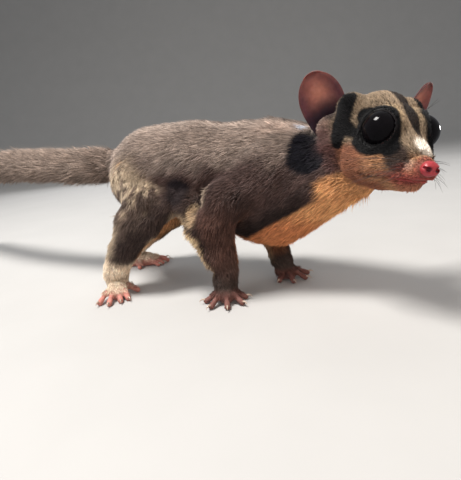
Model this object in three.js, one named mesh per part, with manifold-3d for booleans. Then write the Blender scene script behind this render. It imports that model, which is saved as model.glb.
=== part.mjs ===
// A sugar glider (Petaurus breviceps), life size, standing on four feet with its head turned to its right.
// Millimetres, +Z up, +X towards the animal's front, +Y to its left. The soles rest on the plane z = 0.
// The flesh is described by distance fields, blended cones and eggs, and meshed by surface nets. Its
// pieces are then joined and cut, and each keeps a thin gap to its neighbours. The long coat of the tail
// is a core of dense underfur that carries overlapping locks.
import * as THREE from "three";
import { mergeVertices } from "three/addons/utils/BufferGeometryUtils.js";
import Module from "manifold-3d";

const wasm = await Module();
wasm.setup();

// The whole animal
const GAP = 0.3; // clearance between parts that touch
const ORIGIN = [-68.93, -3.11, 0]; // the place under the middle of the whole animal, seen from above
const SIDES = { right: -1, left: 1 };
const DOWN = [0, 0, -1];
const SLIVER = 0.01; // edges shorter than this are closed up

// How finely each part is meshed
const STEP = { head: 2.5, torso: 5, limb: 4.4, paw: 2.6 };

// The head, in its own frame: x to the nose, y to its left, z to the crown, origin in the braincase
const HEAD = { at: [67, -12, 52.7], yaw: -54, pitch: 1, roll: -9 };
const SKULL = {
  braincase: [[-4, 0, 2.6], [15, 13, 15]], // eggs: middle, half lengths
  cheek: [[3, 7.3, -4.2], [9.5, 6.2, 7.4]],
  orbit: [6.6, 6, 6.5],
  orbitSink: -0.8, // the orbit's egg lies this far in from the eye's middle
  muzzle: [[8, 0, -2.2], [19.6, 0, -6], 8.8, 4.1], // cones: both ends, both radii
  jaw: [[3, 0, -8], [15.8, 0, -9.4], 5.5, 2.8],
  temple: [[-4.6, 9, 4], [-4.6, 9.6, 11.2], 5.4, 5.2], // the thick fur before each ear
  fillets: [5, 3],
};
const EYE = { at: [8.1, 6.5, 4.5], radius: 5.35, look: [0.5, 0.85, 0.15] };
const LID = { rim: 1.6, tube: 0.75, window: 3.6 }; // rim and window: how far out along the eye's look
const NOSE = {
  at: [23.2, 0, -5.6],
  radii: [1.9, 2.4, 2.1],
  nostril: [1.3, 1.35, -0.1], // its mouth, from the nose pad's middle
  nostrilEnd: [0.4, 1.6, 0.3], // its outer end, from its mouth
  hole: 0.62,
  furrow: [[2.05, 0, 1], [1.7, 0.01, -1.6]], // both ends, from the nose pad's middle
  furrowRadius: 0.3,
};
const MOUTH = {
  corner: [8, 9, -8.6],
  cheek: [13, 7, -9.6],
  lip: [18.6, 4.2, -9],
  front: [22, 0, -8.9],
  groove: { out: 0.1, radius: 0.45 },
  upperLip: { rise: 0.8, out: -0.4, radius: 0.8 },
  lowerLip: { rise: -0.8, out: -0.5, radius: 0.8 },
  rings: 15,
  sides: 5,
};
const EAR = {
  root: [-9.5, 12, 1.6],
  up: [-0.05, 0.47, 0.87],
  open: [0.8, 0.6, -0.2],
  height: 22.4,
  width: 14.5,
  widest: 0.58,
  base: 0.55,
  curl: [85, 32],
  middle: 1.2, // thickness
  edge: 0.65,
  rows: 9,
  columns: 8,
};

// The trunk: eggs as middle and half lengths, the neck and throat as cones
const TRUNK = {
  rump: [[-30, 0, 47.2], [20.5, 17, 20]],
  back: [[-9, 0, 50], [31, 17.5, 18.9]],
  chest: [[22, 0, 41.2], [24.5, 16, 24.6]],
  neck: [[36, 0, 45], [55, -2, 49.5], 16, 12.5],
  throat: [[30, -1, 34.5], [59, -9.5, 43.8], 14, 7.2],
  fillet: 10,
  throatFillet: 6,
};
const NECK_CUT = { at: [40, 0, 46], normal: [1, -0.15, 0.15] };

// The limbs, from the body outwards: [x, y, z, radius with fur]. They are cut at the third station, the elbow
// or knee, and level at the last, the wrist or ankle.
const LIMBS = {
  arm_right: {
    names: ["upper_arm_right", "forearm_right", "hand_right"],
    stations: [[27, -9.5, 46, 9.5], [12, -17, 37.5, 8.4], [8, -19.5, 29.5, 7], [11, -21, 11.5, 4.2]],
  },
  arm_left: {
    names: ["upper_arm_left", "forearm_left", "hand_left"],
    stations: [[27, 9.5, 46, 9.5], [18, 17, 36, 8.2], [16, 16, 28.5, 7], [23, 7, 11.5, 4.2]],
  },
  leg_right: {
    names: ["thigh_right", "shank_right", "foot_right"],
    stations: [[-32, -9.5, 45.5, 12], [-25, -17, 37.5, 8.6], [-29, -20, 30.5, 7.8], [-40, -23.5, 11.5, 4.6]],
  },
  leg_left: {
    names: ["thigh_left", "shank_left", "foot_left"],
    stations: [[-34, 9.5, 46, 12], [-31, 17, 36, 8.6], [-35, 17, 29, 7.6], [-57, 12.5, 11.5, 4.6]],
  },
};

// The paws: heading in degrees from +X, the palm or sole as [reach along the heading, height, radius], and
// each digit as [angle from the heading towards the thumb's side, reach from the palm's middle, root radius]
const HAND = {
  sole: [[-1, 7.5, 3.9], [0.3, 3.1, 3.9], [2.6, 2.6, 3.2]],
  digits: [[82, 7.4, 1.1], [42, 9.2, 1.1], [4, 9.8, 1.1], [-34, 9.8, 1.1], [-74, 8.2, 1.1]],
  clawless: -1,
};
const FOOT = {
  sole: [[-1.5, 8, 4.5], [-2, 3.4, 3.9], [4.5, 2.7, 3.5], [8, 2.4, 3]],
  digits: [[65, 9.2, 1.5], [19, 13.2, 1.15], [5, 13.8, 1.15], [-12, 15.4, 1.25], [-30, 14.2, 1.2]],
  clawless: 0,
};
const DIGIT = { sides: 5, start: [0.45, 3], root: 2.8, knuckle: 3.1, pad: 1.2, tip: 1.02 };
const CLAW = { sides: 4, root: 0.6, bend: 0.48, tip: 0.25, sunk: 0.5, length: 2, height: 1.5, lift: 0.5 };
const PAWS = {
  arm_right: { kind: HAND, at: [10.8, -22.3], heading: -68, side: "right" },
  arm_left: { kind: HAND, at: [25.5, 5.5], heading: -8, side: "left" },
  leg_right: { kind: FOOT, at: [-41, -24], heading: -52, side: "right" },
  leg_left: { kind: FOOT, at: [-57.5, 12.5], heading: 14, side: "left" },
};

// The folded gliding membrane along each flank, from the wrist to the ankle: [x, y, z, radius]
const MEMBRANES = {
  right: [
    [7, -22.5, 17, 1.5],
    [1.5, -22.5, 28, 2.6],
    [-4, -17, 36.5, 3.6],
    [-13, -16, 37, 3.9],
    [-22, -21, 30, 3.4],
    [-33, -25, 20, 2],
  ],
  left: [
    [18, 12, 17, 1.5],
    [9.5, 18, 27, 2.6],
    [0, 16.5, 36, 3.6],
    [-13, 16, 37, 3.9],
    [-27, 20, 30, 3.4],
    [-45, 18, 19, 2],
  ],
};
const MEMBRANE = { sides: 8, rings: 15 };

// The tail: [x, y, z, radius out to the tips of its coat]
const TAIL = [
  [-40, 0, 53, 8.2],
  [-62, 0, 54, 7.8],
  [-82, 0.5, 55, 8.4],
  [-104, 1.5, 56.5, 8.8],
  [-128, 4, 57.5, 8.8],
  [-152, 8.5, 56.5, 8.4],
  [-176, 15, 52.5, 7.4],
  [-198, 23.5, 45, 5.6],
  [-213, 30.5, 38, 2.4],
];
const TAIL_CUTS = [0.36, 0.66]; // where it is divided, as parts of its length
const CORE = { part: 0.6, sides: 8, rings: 22 }; // the dense underfur, to this part of the coat's radius
const LOCK = {
  start: 0.05, // the first ring of roots, as a part of the tail's length
  rings: 12,
  round: 6,
  reach: 26,
  thick: 0.9,
  // From root to tip: [way along, lift from the core to the coat's tips, part of its share of the round]
  stations: [[-0.12, -0.3, 0.6], [0.32, 0.42, 0.92], [0.72, 0.84, 0.74]],
  sway: 0.28,
  seed: 11,
};

// Finishes: colour, roughness
const FINISH = {
  fur: ["#857a70", 0.95],
  crown: ["#b5a184", 0.95],
  edge: ["#d9cfbd", 0.95],
  tail: ["#776d66", 0.95],
  ear: ["#a56f66", 0.6],
  eye: ["#0b0a0f", 0.05],
  nose: ["#c9646a", 0.45],
  skin: ["#c98f84", 0.6],
};

// Small vector helpers on plain arrays
const add = (a, b, k = 1) => [a[0] + b[0] * k, a[1] + b[1] * k, a[2] + b[2] * k];
const sub = (a, b) => add(a, b, -1);
const scale = (a, k) => [a[0] * k, a[1] * k, a[2] * k];
const dot = (a, b) => a[0] * b[0] + a[1] * b[1] + a[2] * b[2];
const unit = (a) => scale(a, 1 / Math.hypot(...a));
const cross = (a, b) => [
  a[1] * b[2] - a[2] * b[1],
  a[2] * b[0] - a[0] * b[2],
  a[0] * b[1] - a[1] * b[0],
];
const mirror = (p, side) => [p[0], p[1] * side, p[2]];
const place = (station) => station.slice(0, 3);
const { lerp, degToRad } = THREE.MathUtils;

// A repeatable stream of numbers from 0 to 1.
function seeded(seed) {
  let state = seed;
  return () => {
    state = (state * 16807) % 2147483647;
    return state / 2147483647;
  };
}

// A distance field is a function of a point, negative inside. This one is a cone with round ends at a and b.
function cone(a, b, ra, rb) {
  const ba = sub(b, a);
  const l2 = dot(ba, ba);
  const rr = ra - rb;
  const a2 = l2 - rr * rr;
  return (p) => {
    const pa = sub(p, a);
    const y = dot(pa, ba);
    const z = y - l2;
    const q = sub(scale(pa, l2), scale(ba, y));
    const x2 = dot(q, q);
    const y2 = y * y * l2;
    const z2 = z * z * l2;
    const k = Math.sign(rr) * rr * rr * x2;
    if (Math.sign(z) * a2 * z2 > k) return Math.sqrt(x2 + z2) / l2 - rb;
    if (Math.sign(y) * a2 * y2 < k) return Math.sqrt(x2 + y2) / l2 - ra;
    return (Math.sqrt((x2 * a2) / l2) + y * rr) / l2 - ra;
  };
}

// An egg with its three half lengths along the axes.
function egg(c, r) {
  return (p) => {
    const q = sub(p, c);
    const k0 = Math.hypot(q[0] / r[0], q[1] / r[1], q[2] / r[2]);
    const k1 = Math.hypot(q[0] / r[0] ** 2, q[1] / r[1] ** 2, q[2] / r[2] ** 2);
    return k1 < 1e-9 ? -Math.min(...r) : (k0 * (k0 - 1)) / k1;
  };
}

// The smaller of two distances, with a fillet of width k.
function soft(a, b, k) {
  const h = Math.max(k - Math.abs(a - b), 0) / k;
  return Math.min(a, b) - (h * h * k) / 4;
}

const blend = (k, ...fields) => (p) => fields.map((f) => f(p)).reduce((a, b) => soft(a, b, k));
const onBothSides = (field) => (p) => field([p[0], Math.abs(p[1]), p[2]]);
const chain = (k, stations) => blend(k, ...stations.slice(1).map((b, i) => {
  const a = stations[i];
  return cone(place(a), place(b), a[3], b[3]);
}));

function gradient(field, p) {
  const e = 0.05;
  const axes = [[e, 0, 0], [0, e, 0], [0, 0, e]];
  return axes.map((d) => (field(add(p, d)) - field(sub(p, d))) / (2 * e));
}

// Moves a point onto a field's surface, then further out by `out`.
function onSurface(field, start, out = 0) {
  let p = start;
  for (let i = 0; i < 4; i++) {
    const g = gradient(field, p);
    p = add(p, g, -field(p) / Math.max(dot(g, g), 0.1));
  }
  return add(p, unit(gradient(field, p)), out);
}

// The box round a chain of stations, with room for the net's outer cells.
function boxAround(stations, room) {
  const low = [0, 1, 2].map((d) => Math.min(...stations.map((s) => s[d] - s[3])) - room);
  const high = [0, 1, 2].map((d) => Math.max(...stations.map((s) => s[d] + s[3])) + room);
  return [low, high];
}

// Calls `visit` for each cell of a grid of n[0] by n[1] by n[2].
function eachCell(n, visit) {
  for (let i = 0; i < n[0]; i++) {
    for (let j = 0; j < n[1]; j++) {
      for (let k = 0; k < n[2]; k++) visit([i, j, k]);
    }
  }
}

const CORNERS = [0, 1, 2, 3, 4, 5, 6, 7].map((c) => [c & 1, (c >> 1) & 1, (c >> 2) & 1]);
const EDGES = CORNERS.flatMap((a, i) =>
  CORNERS.slice(i + 1).filter((b) => a.filter((v, d) => v !== b[d]).length === 1).map((b) => [a, b]));

// Surface nets over the box low to high: a vertex in each cell that the surface crosses, and a quad round
// each grid edge that it crosses. `grow` pushes the vertices outwards.
function surfaceNet(field, low, high, step, grow = 0) {
  const n = low.map((l, d) => Math.ceil((high[d] - l) / step) + 1);
  const cells = n.map((v) => v - 1);
  const at = (c) => add(low, c, step);
  const index = (c) => (c[0] * n[1] + c[1]) * n[2] + c[2];
  const value = new Float64Array(n[0] * n[1] * n[2]);
  eachCell(n, (c) => {
    value[index(c)] = field(at(c));
  });
  const vertexOf = new Map();
  const vertices = [];
  eachCell(cells, (c) => {
    const crossings = [];
    for (const [a, b] of EDGES) {
      const va = value[index(add(c, a))];
      const vb = value[index(add(c, b))];
      if (va < 0 !== vb < 0) crossings.push(add(a, sub(b, a), va / (va - vb)));
    }
    if (!crossings.length) return;
    let p = add(at(c), crossings.reduce((a, b) => add(a, b)), step / crossings.length);
    const g = gradient(field, p);
    const pull = THREE.MathUtils.clamp(field(p), -step / 2, step / 2) / Math.max(dot(g, g), 0.1);
    p = add(p, g, -pull);
    if (grow) p = add(p, unit(gradient(field, p)), grow);
    vertexOf.set(index(c), vertices.length);
    vertices.push(p);
  });
  const triangles = [];
  eachCell(cells, (c) => {
    for (let axis = 0; axis < 3; axis++) {
      const u = (axis + 1) % 3;
      const v = (axis + 2) % 3;
      const next = [...c];
      next[axis]++;
      const inside = value[index(c)] < 0;
      if (!c[u] || !c[v] || inside === value[index(next)] < 0) continue;
      const quad = [[0, 0], [1, 0], [1, 1], [0, 1]].map(([du, dv]) => {
        const cell = [...c];
        cell[u] -= du;
        cell[v] -= dv;
        return vertexOf.get(index(cell));
      });
      triangles.push(...splitQuad(vertices, inside ? quad : quad.reverse()));
    }
  });
  return meshGeometry(vertices, triangles);
}

// Two triangles that share the quad's shorter diagonal.
function splitQuad(vertices, [a, b, c, d]) {
  const ac = Math.hypot(...sub(vertices[a], vertices[c]));
  const bd = Math.hypot(...sub(vertices[b], vertices[d]));
  return ac <= bd ? [a, b, c, a, c, d] : [a, b, d, b, c, d];
}

function meshGeometry(vertices, triangles) {
  const geometry = new THREE.BufferGeometry();
  geometry.setAttribute("position", new THREE.Float32BufferAttribute(vertices.flat(), 3));
  geometry.setIndex(triangles);
  return geometry;
}

// A solid from a closed geometry. Vertices nearer to each other than `merge` become one.
function solid(geometry, merge = 1e-4) {
  const bare = geometry.clone();
  bare.deleteAttribute("normal");
  bare.deleteAttribute("uv");
  const merged = mergeVertices(bare, merge);
  return new wasm.Manifold(new wasm.Mesh({
    numProp: 3,
    vertProperties: new Float32Array(merged.attributes.position.array),
    triVerts: new Uint32Array(merged.index.array),
  }));
}

// The geometry of a solid's largest closed surface.
function geometryOf(made) {
  const [body] = made.decompose().sort((a, b) => b.volume() - a.volume());
  const mesh = body.getMesh();
  const geometry = new THREE.BufferGeometry();
  geometry.setAttribute("position", new THREE.BufferAttribute(mesh.vertProperties, 3));
  geometry.setIndex(new THREE.BufferAttribute(mesh.triVerts, 1));
  return geometry;
}

// A solid from one closed surface, whichever way round its triangles run.
function facingOut(vertices, triangles) {
  const made = solid(meshGeometry(vertices, triangles));
  return made.volume() < 0 ? solid(meshGeometry(vertices, triangles.toReversed())) : made;
}

const joined = (solids) => solids.reduce((a, b) => a.add(b));
const cleared = (made, others) => others.reduce((a, b) => a.subtract(b), made);

// Everything on the side of a plane that its normal points to.
function halfSpace(point, normal) {
  const size = 600;
  const box = new THREE.BoxGeometry(size, size, size).translate(0, 0, size / 2);
  const turn = new THREE.Quaternion();
  turn.setFromUnitVectors(new THREE.Vector3(0, 0, 1), new THREE.Vector3(...unit(normal)));
  return solid(box.applyQuaternion(turn).translate(...point));
}

// A solid divided by a plane, with the gap between its two parts. The first lies behind the plane.
function parted(made, point, normal) {
  const n = unit(normal);
  const behind = made.subtract(halfSpace(add(point, n, -GAP / 2), n));
  const ahead = made.intersect(halfSpace(add(point, n, GAP / 2), n));
  return [behind, ahead];
}

// A smooth middle line through stations [x, y, z, radius], with what lies round it at t from 0 to 1.
function spine(stations) {
  const curve = new THREE.CatmullRomCurve3(stations.map((s) => new THREE.Vector3(...place(s))));
  const spans = stations.length - 1;
  const around = (t) => {
    const centre = curve.getPoint(t).toArray();
    const along = curve.getTangent(t).toArray();
    const across = unit(cross([0, 0, 1], along));
    const over = cross(along, across);
    const span = Math.min(Math.floor(t * spans), spans - 1);
    const radius = lerp(stations[span][3], stations[span + 1][3], t * spans - span);
    const out = (angle) => add(scale(across, Math.cos(angle)), over, Math.sin(angle));
    return { centre, along, radius, out };
  };
  return { curve, around };
}

// A closed tube along a spine, with `rings` rings of `sides` points.
function tube(stations, sides, rings, grow = 0) {
  const { around } = spine(stations);
  const vertices = [];
  for (let r = 0; r < rings; r++) {
    const { centre, radius, out } = around(r / (rings - 1));
    for (let s = 0; s < sides; s++) {
      vertices.push(add(centre, out((2 * Math.PI * s) / sides), radius + grow));
    }
  }
  const first = vertices.push(place(stations[0])) - 1;
  const last = vertices.push(place(stations.at(-1))) - 1;
  const triangles = [];
  const top = (rings - 1) * sides;
  for (let s = 0; s < sides; s++) {
    const next = (s + 1) % sides;
    triangles.push(first, next, s, last, top + s, top + next);
    for (let r = 0; r < rings - 1; r++) {
      const a = r * sides + s;
      const b = r * sides + next;
      triangles.push(a, b, b + sides, a, b + sides, a + sides);
    }
  }
  return solid(meshGeometry(vertices, triangles));
}

function ball(centre, radii, wide, high) {
  return solid(new THREE.SphereGeometry(1, wide, high).scale(...radii).translate(...centre));
}

// The head's outline without its fine forms, in the head's frame
const headField = (() => {
  const braincase = egg(...SKULL.braincase);
  const cheeks = onBothSides(egg(...SKULL.cheek));
  const orbits = onBothSides(egg(add(EYE.at, unit(EYE.look), SKULL.orbitSink), SKULL.orbit));
  const temples = onBothSides(cone(...SKULL.temple));
  const [wide, tight] = SKULL.fillets;
  const upper = blend(wide, braincase, cheeks, cone(...SKULL.muzzle));
  return blend(tight, upper, cone(...SKULL.jaw), orbits, temples);
})();
const HEAD_BOX = [[-22, -20, -18], [32, 20, 22]];

// The rim of each eyelid: a ring that lies on the eyeball, facing where the eye looks.
function lidRim(side) {
  const look = unit(mirror(EYE.look, side));
  const radius = Math.sqrt(EYE.radius ** 2 - LID.rim ** 2) + LID.tube / 2;
  const ring = new THREE.TorusGeometry(radius, LID.tube, 5, 20);
  const turn = new THREE.Quaternion();
  turn.setFromUnitVectors(new THREE.Vector3(0, 0, 1), new THREE.Vector3(...look));
  const centre = add(mirror(EYE.at, side), look, LID.rim);
  return solid(ring.applyQuaternion(turn).translate(...centre));
}

// A tube along the line of the mouth from corner to corner, raised by `rise` and moved out of the skin.
function lipTube({ rise = 0, out, radius }) {
  const half = [MOUTH.corner, MOUTH.cheek, MOUTH.lip];
  const points = [...half, MOUTH.front, ...half.map((p) => mirror(p, -1)).reverse()];
  const stations = points.map((p) => [...onSurface(headField, add(p, [0, 0, rise]), out), radius]);
  return tube(stations, MOUTH.sides, MOUTH.rings);
}

function headSolid() {
  const flesh = solid(surfaceNet(headField, ...HEAD_BOX, STEP.head));
  const rims = Object.values(SIDES).map(lidRim);
  const eyeRoom = Object.values(SIDES).map((side) => eyeball(side, GAP));
  const open = cleared(flesh, Object.values(SIDES).map(lidOpening));
  const lips = [lipTube(MOUTH.upperLip), lipTube(MOUTH.lowerLip)];
  return cleared(joined([open, ...rims, ...lips]), [lipTube(MOUTH.groove), ...eyeRoom, noseEgg(GAP)]);
}

// What lies in front of the eyeball and inside the rim of its lids.
function lidOpening(side) {
  const centre = add(mirror(EYE.at, side), unit(mirror(EYE.look, side)), LID.window);
  return ball(centre, [EYE.radius, EYE.radius, EYE.radius], 16, 11);
}

function eyeball(side, grow = 0) {
  const radius = EYE.radius + grow;
  return ball(mirror(EYE.at, side), [radius, radius, radius], 16, 11);
}

function noseEgg(grow = 0) {
  return ball(NOSE.at, NOSE.radii.map((r) => r + grow), 12, 8);
}

// The nose pad with two nostrils and the furrow between them.
function nosePad() {
  const holes = Object.values(SIDES).map((side) => {
    const mouth = add(NOSE.at, mirror(NOSE.nostril, side));
    const end = add(mouth, mirror(NOSE.nostrilEnd, side));
    return tube([[...mouth, NOSE.hole], [...end, NOSE.hole]], 6, 2);
  });
  const furrow = NOSE.furrow.map((p) => [...add(NOSE.at, p), NOSE.furrowRadius]);
  return cleared(noseEgg(), [...holes, tube(furrow, 5, 2)]);
}

// An ear: a thin leaf, cupped towards `open`, rolled at its base and rounded at its tip.
function earSolid(side) {
  const { rows, columns, width, widest } = EAR;
  const up = unit(mirror(EAR.up, side));
  const open = mirror(EAR.open, side);
  const face = unit(add(open, up, -dot(open, up)));
  const across = cross(up, face);
  const halfWidth = (u) => {
    if (u < widest) return (width / 2) * lerp(EAR.base, 1, Math.sin((Math.PI / 2) * (u / widest)));
    return (width / 2) * Math.sqrt(1 - ((u - widest) / (1 - widest)) ** 2);
  };
  const point = (u, v) => {
    const curl = degToRad(lerp(EAR.curl[0], EAR.curl[1], Math.sqrt(u)));
    const arc = halfWidth(u * 0.985) / Math.sin(curl);
    const along = add(mirror(EAR.root, side), up, EAR.height * u);
    const cup = arc * (Math.cos(curl) - Math.cos(v * curl));
    return add(add(along, across, arc * Math.sin(v * curl)), face, cup);
  };
  const front = [];
  const back = [];
  for (let r = 0; r < rows; r++) {
    for (let c = 0; c < columns; c++) {
      const u = r / (rows - 1);
      const v = (2 * c) / (columns - 1) - 1;
      const e = 0.01;
      const rise = sub(point(Math.min(u + e, 1), v), point(Math.max(u - e, 0), v));
      const slope = cross(sub(point(u, v + e), point(u, v - e)), rise);
      const thick = lerp(EAR.middle, EAR.edge, Math.max(Math.abs(v), u));
      front.push(point(u, v));
      back.push(add(point(u, v), unit(slope), dot(slope, face) > 0 ? -thick : thick));
    }
  }
  const cell = (r, c) => r * columns + c;
  const lower = rows * columns;
  const triangles = [];
  for (let r = 0; r < rows - 1; r++) {
    for (let c = 0; c < columns - 1; c++) {
      const [a, b, d, f] = [cell(r, c), cell(r, c + 1), cell(r + 1, c + 1), cell(r + 1, c)];
      triangles.push(a, b, d, a, d, f);
      triangles.push(lower + a, lower + d, lower + b, lower + a, lower + f, lower + d);
    }
  }
  const rim = [];
  for (let c = 0; c < columns - 1; c++) rim.push(cell(0, c));
  for (let r = 0; r < rows - 1; r++) rim.push(cell(r, columns - 1));
  for (let c = columns - 1; c > 0; c--) rim.push(cell(rows - 1, c));
  for (let r = rows - 1; r > 0; r--) rim.push(cell(r, 0));
  rim.forEach((a, i) => {
    const b = rim[(i + 1) % rim.length];
    triangles.push(a, lower + a, lower + b, a, lower + b, b);
  });
  return facingOut([...front, ...back], triangles);
}

// The trunk with the neck, as one blended field
const trunkEggs = [egg(...TRUNK.rump), egg(...TRUNK.back), egg(...TRUNK.chest)];
const trunkUpper = blend(TRUNK.fillet, ...trunkEggs, cone(...TRUNK.neck));
const trunkField = blend(TRUNK.throatFillet, trunkUpper, cone(...TRUNK.throat));
const TRUNK_BOX = [[-60, -30, 10], [78, 30, 78]];

// A paw: its palm or sole, with the digits and the claws joined on, cut flat at the floor.
function pawSolid(paw, wrist) {
  const side = SIDES[paw.side];
  const heading = degToRad(paw.heading);
  const ahead = (angle, reach, z) => [
    paw.at[0] + reach * Math.cos(angle),
    paw.at[1] + reach * Math.sin(angle),
    z,
  ];
  const sole = paw.kind.sole.map(([reach, height, radius]) => [...ahead(heading, reach, height), radius]);
  const stations = [wrist, ...sole];
  const pieces = [solid(surfaceNet(chain(2, stations), ...boxAround(stations, 2 * STEP.paw), STEP.paw))];
  paw.kind.digits.forEach(([spread, length, root], i) => {
    const angle = heading + side * -degToRad(spread);
    const start = Math.max(length * DIGIT.start[0] - DIGIT.start[1], 0);
    const digit = [
      [...ahead(angle, start, DIGIT.root), root * 1.15],
      [...ahead(angle, (start + length) / 2, DIGIT.knuckle), root * 0.95],
      [...ahead(angle, length - DIGIT.pad, DIGIT.pad), DIGIT.pad * 0.95],
      [...ahead(angle, length, DIGIT.tip), DIGIT.pad],
    ];
    pieces.push(tube(digit, DIGIT.sides, digit.length));
    if (i === paw.kind.clawless) return;
    const claw = [
      [...ahead(angle, length - CLAW.sunk, CLAW.height), CLAW.root],
      [...ahead(angle, length + CLAW.length / 2, CLAW.height + CLAW.lift), CLAW.bend],
      [...ahead(angle, length + CLAW.length, CLAW.height - CLAW.lift), CLAW.tip],
    ];
    pieces.push(tube(claw, CLAW.sides, claw.length));
  });
  return joined(pieces).intersect(halfSpace([0, 0, 0], [0, 0, 1]));
}

// A limb as its three solids, and the swollen limb that its neighbours are cut by.
function limbSolids(name) {
  const { stations } = LIMBS[name];
  const [, , joint, wrist] = stations;
  const end = add(place(wrist), sub(place(wrist), place(joint)), 0.2);
  const field = chain(4, [...stations, [...end, wrist[3]]]);
  const box = boxAround([...stations, [...end, wrist[3]]], 2 * STEP.limb);
  const whole = solid(surfaceNet(field, ...box, STEP.limb));
  const room = solid(surfaceNet(field, ...box, STEP.limb, GAP));
  const bend = add(unit(sub(place(joint), place(stations[1]))), unit(sub(place(wrist), place(joint))));
  const [upper, rest] = parted(whole, place(joint), bend);
  const [lower] = parted(rest, place(wrist), DOWN);
  const [, paw] = parted(pawSolid(PAWS[name], wrist), place(wrist), DOWN);
  return { solids: [upper, lower, paw], room };
}

// The tail's middle line and its coat
const tailLine = spine(TAIL);
const tailLength = tailLine.curve.getLength();

// The point beside the tail at the part `far` of its length, at `angle` round it, at the part `part` of its
// coat's radius and `lift` further out. Past the tail's end it runs on straight.
function besideTail(far, angle, part, lift = 0) {
  const t = tailLine.curve.getUtoTmapping(Math.min(far, 1));
  const { centre, along, radius, out } = tailLine.around(t);
  const past = Math.max(far - 1, 0) * tailLength;
  return add(add(centre, along, past), out(angle), radius * part + lift);
}

// Where each lock grows and how it lies: rings of locks, each ring turned by half a lock against the last.
function tailLocks() {
  const random = seeded(LOCK.seed);
  const spread = (low, high) => lerp(low, high, random());
  const locks = [];
  for (let r = 0; r < LOCK.rings; r++) {
    for (let s = 0; s < LOCK.round; s++) {
      const far = lerp(LOCK.start, 1, (r + spread(0, 0.3)) / LOCK.rings);
      locks.push({
        far,
        angle: (2 * Math.PI * (s + (r % 2) / 2 + spread(-0.05, 0.05))) / LOCK.round,
        sway: LOCK.sway * spread(-1, 1),
        reach: (LOCK.reach * spread(0.85, 1.1) * Math.min(1.6 - far, 1)) / tailLength,
        rise: spread(0.92, 1.06),
      });
    }
  }
  return locks;
}

// One flat tapered lock. It leaves the core, bends out to the coat's tips as it runs back along the tail, and
// sways to one side.
function lockSolid({ far, angle, sway, reach, rise }, grow = 0) {
  const vertices = LOCK.stations.flatMap(([way, lift, wide]) => {
    const at = far + way * reach;
    const turn = angle + sway * Math.max(way, 0) ** 2;
    const part = lerp(CORE.part, rise, lift);
    const half = (Math.PI / LOCK.round) * wide + grow / TAIL[0][3];
    return [
      besideTail(at, turn - half, part, -grow),
      besideTail(at, turn + half, part, -grow),
      besideTail(at, turn, part, LOCK.thick + grow),
    ];
  });
  const tip = vertices.push(besideTail(far + reach, angle + sway, rise, grow)) - 1;
  const triangles = [0, 1, 2];
  for (let i = 0; i < tip; i += 3) {
    for (let s = 0; s < 3; s++) {
      const a = i + s;
      const b = i + ((s + 1) % 3);
      if (i + 3 < tip) triangles.push(a, a + 3, b + 3, a, b + 3, b);
      else triangles.push(a, tip, b);
    }
  }
  return facingOut(vertices, triangles);
}

// Puts the parts together
function addMesh(parent, name, made, [color, roughness]) {
  const material = new THREE.MeshStandardMaterial({ color, roughness, flatShading: true });
  const tidied = solid(geometryOf(made), SLIVER);
  const mesh = new THREE.Mesh(geometryOf(tidied), material);
  mesh.name = name;
  parent.add(mesh);
}

// The head and what it carries. It gives back the swollen head that the neck is cut by.
function addHead(parent, trunkSwollen) {
  const head = new THREE.Group();
  head.position.set(...HEAD.at);
  head.rotation.set(degToRad(HEAD.roll), degToRad(HEAD.pitch), degToRad(HEAD.yaw), "ZYX");
  head.updateMatrix();
  parent.add(head);
  const swollen = surfaceNet(headField, ...HEAD_BOX, STEP.head, GAP);
  const neighbours = [solid(swollen), solid(trunkSwollen.clone().applyMatrix4(head.matrix.clone().invert()))];
  addMesh(head, "head", headSolid(), FINISH.crown);
  addMesh(head, "nose_pad", nosePad(), FINISH.nose);
  for (const [name, side] of Object.entries(SIDES)) {
    addMesh(head, `eye_${name}`, eyeball(side), FINISH.eye);
    addMesh(head, `ear_${name}`, cleared(earSolid(side), neighbours), FINISH.ear);
  }
  return solid(swollen.applyMatrix4(head.matrix));
}

function addBody(parent, headRoom, trunkRoom) {
  const limbs = Object.fromEntries(Object.keys(LIMBS).map((name) => [name, limbSolids(name)]));
  const limbRoom = Object.values(limbs).map((limb) => limb.room);
  const trunk = solid(surfaceNet(trunkField, ...TRUNK_BOX, STEP.torso)).subtract(headRoom);
  const [torso, neck] = parted(trunk, NECK_CUT.at, NECK_CUT.normal);
  addMesh(parent, "torso", torso, FINISH.fur);
  addMesh(parent, "neck", neck, FINISH.fur);
  for (const [name, { solids }] of Object.entries(limbs)) {
    LIMBS[name].names.forEach((node, i) => {
      addMesh(parent, node, solids[i].subtract(trunkRoom), i < 2 ? FINISH.fur : FINISH.skin);
    });
  }
  for (const side of Object.keys(SIDES)) {
    const fold = cleared(tube(MEMBRANES[side], MEMBRANE.sides, MEMBRANE.rings), [trunkRoom, ...limbRoom]);
    addMesh(parent, `membrane_${side}`, fold, FINISH.edge);
  }
}

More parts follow.
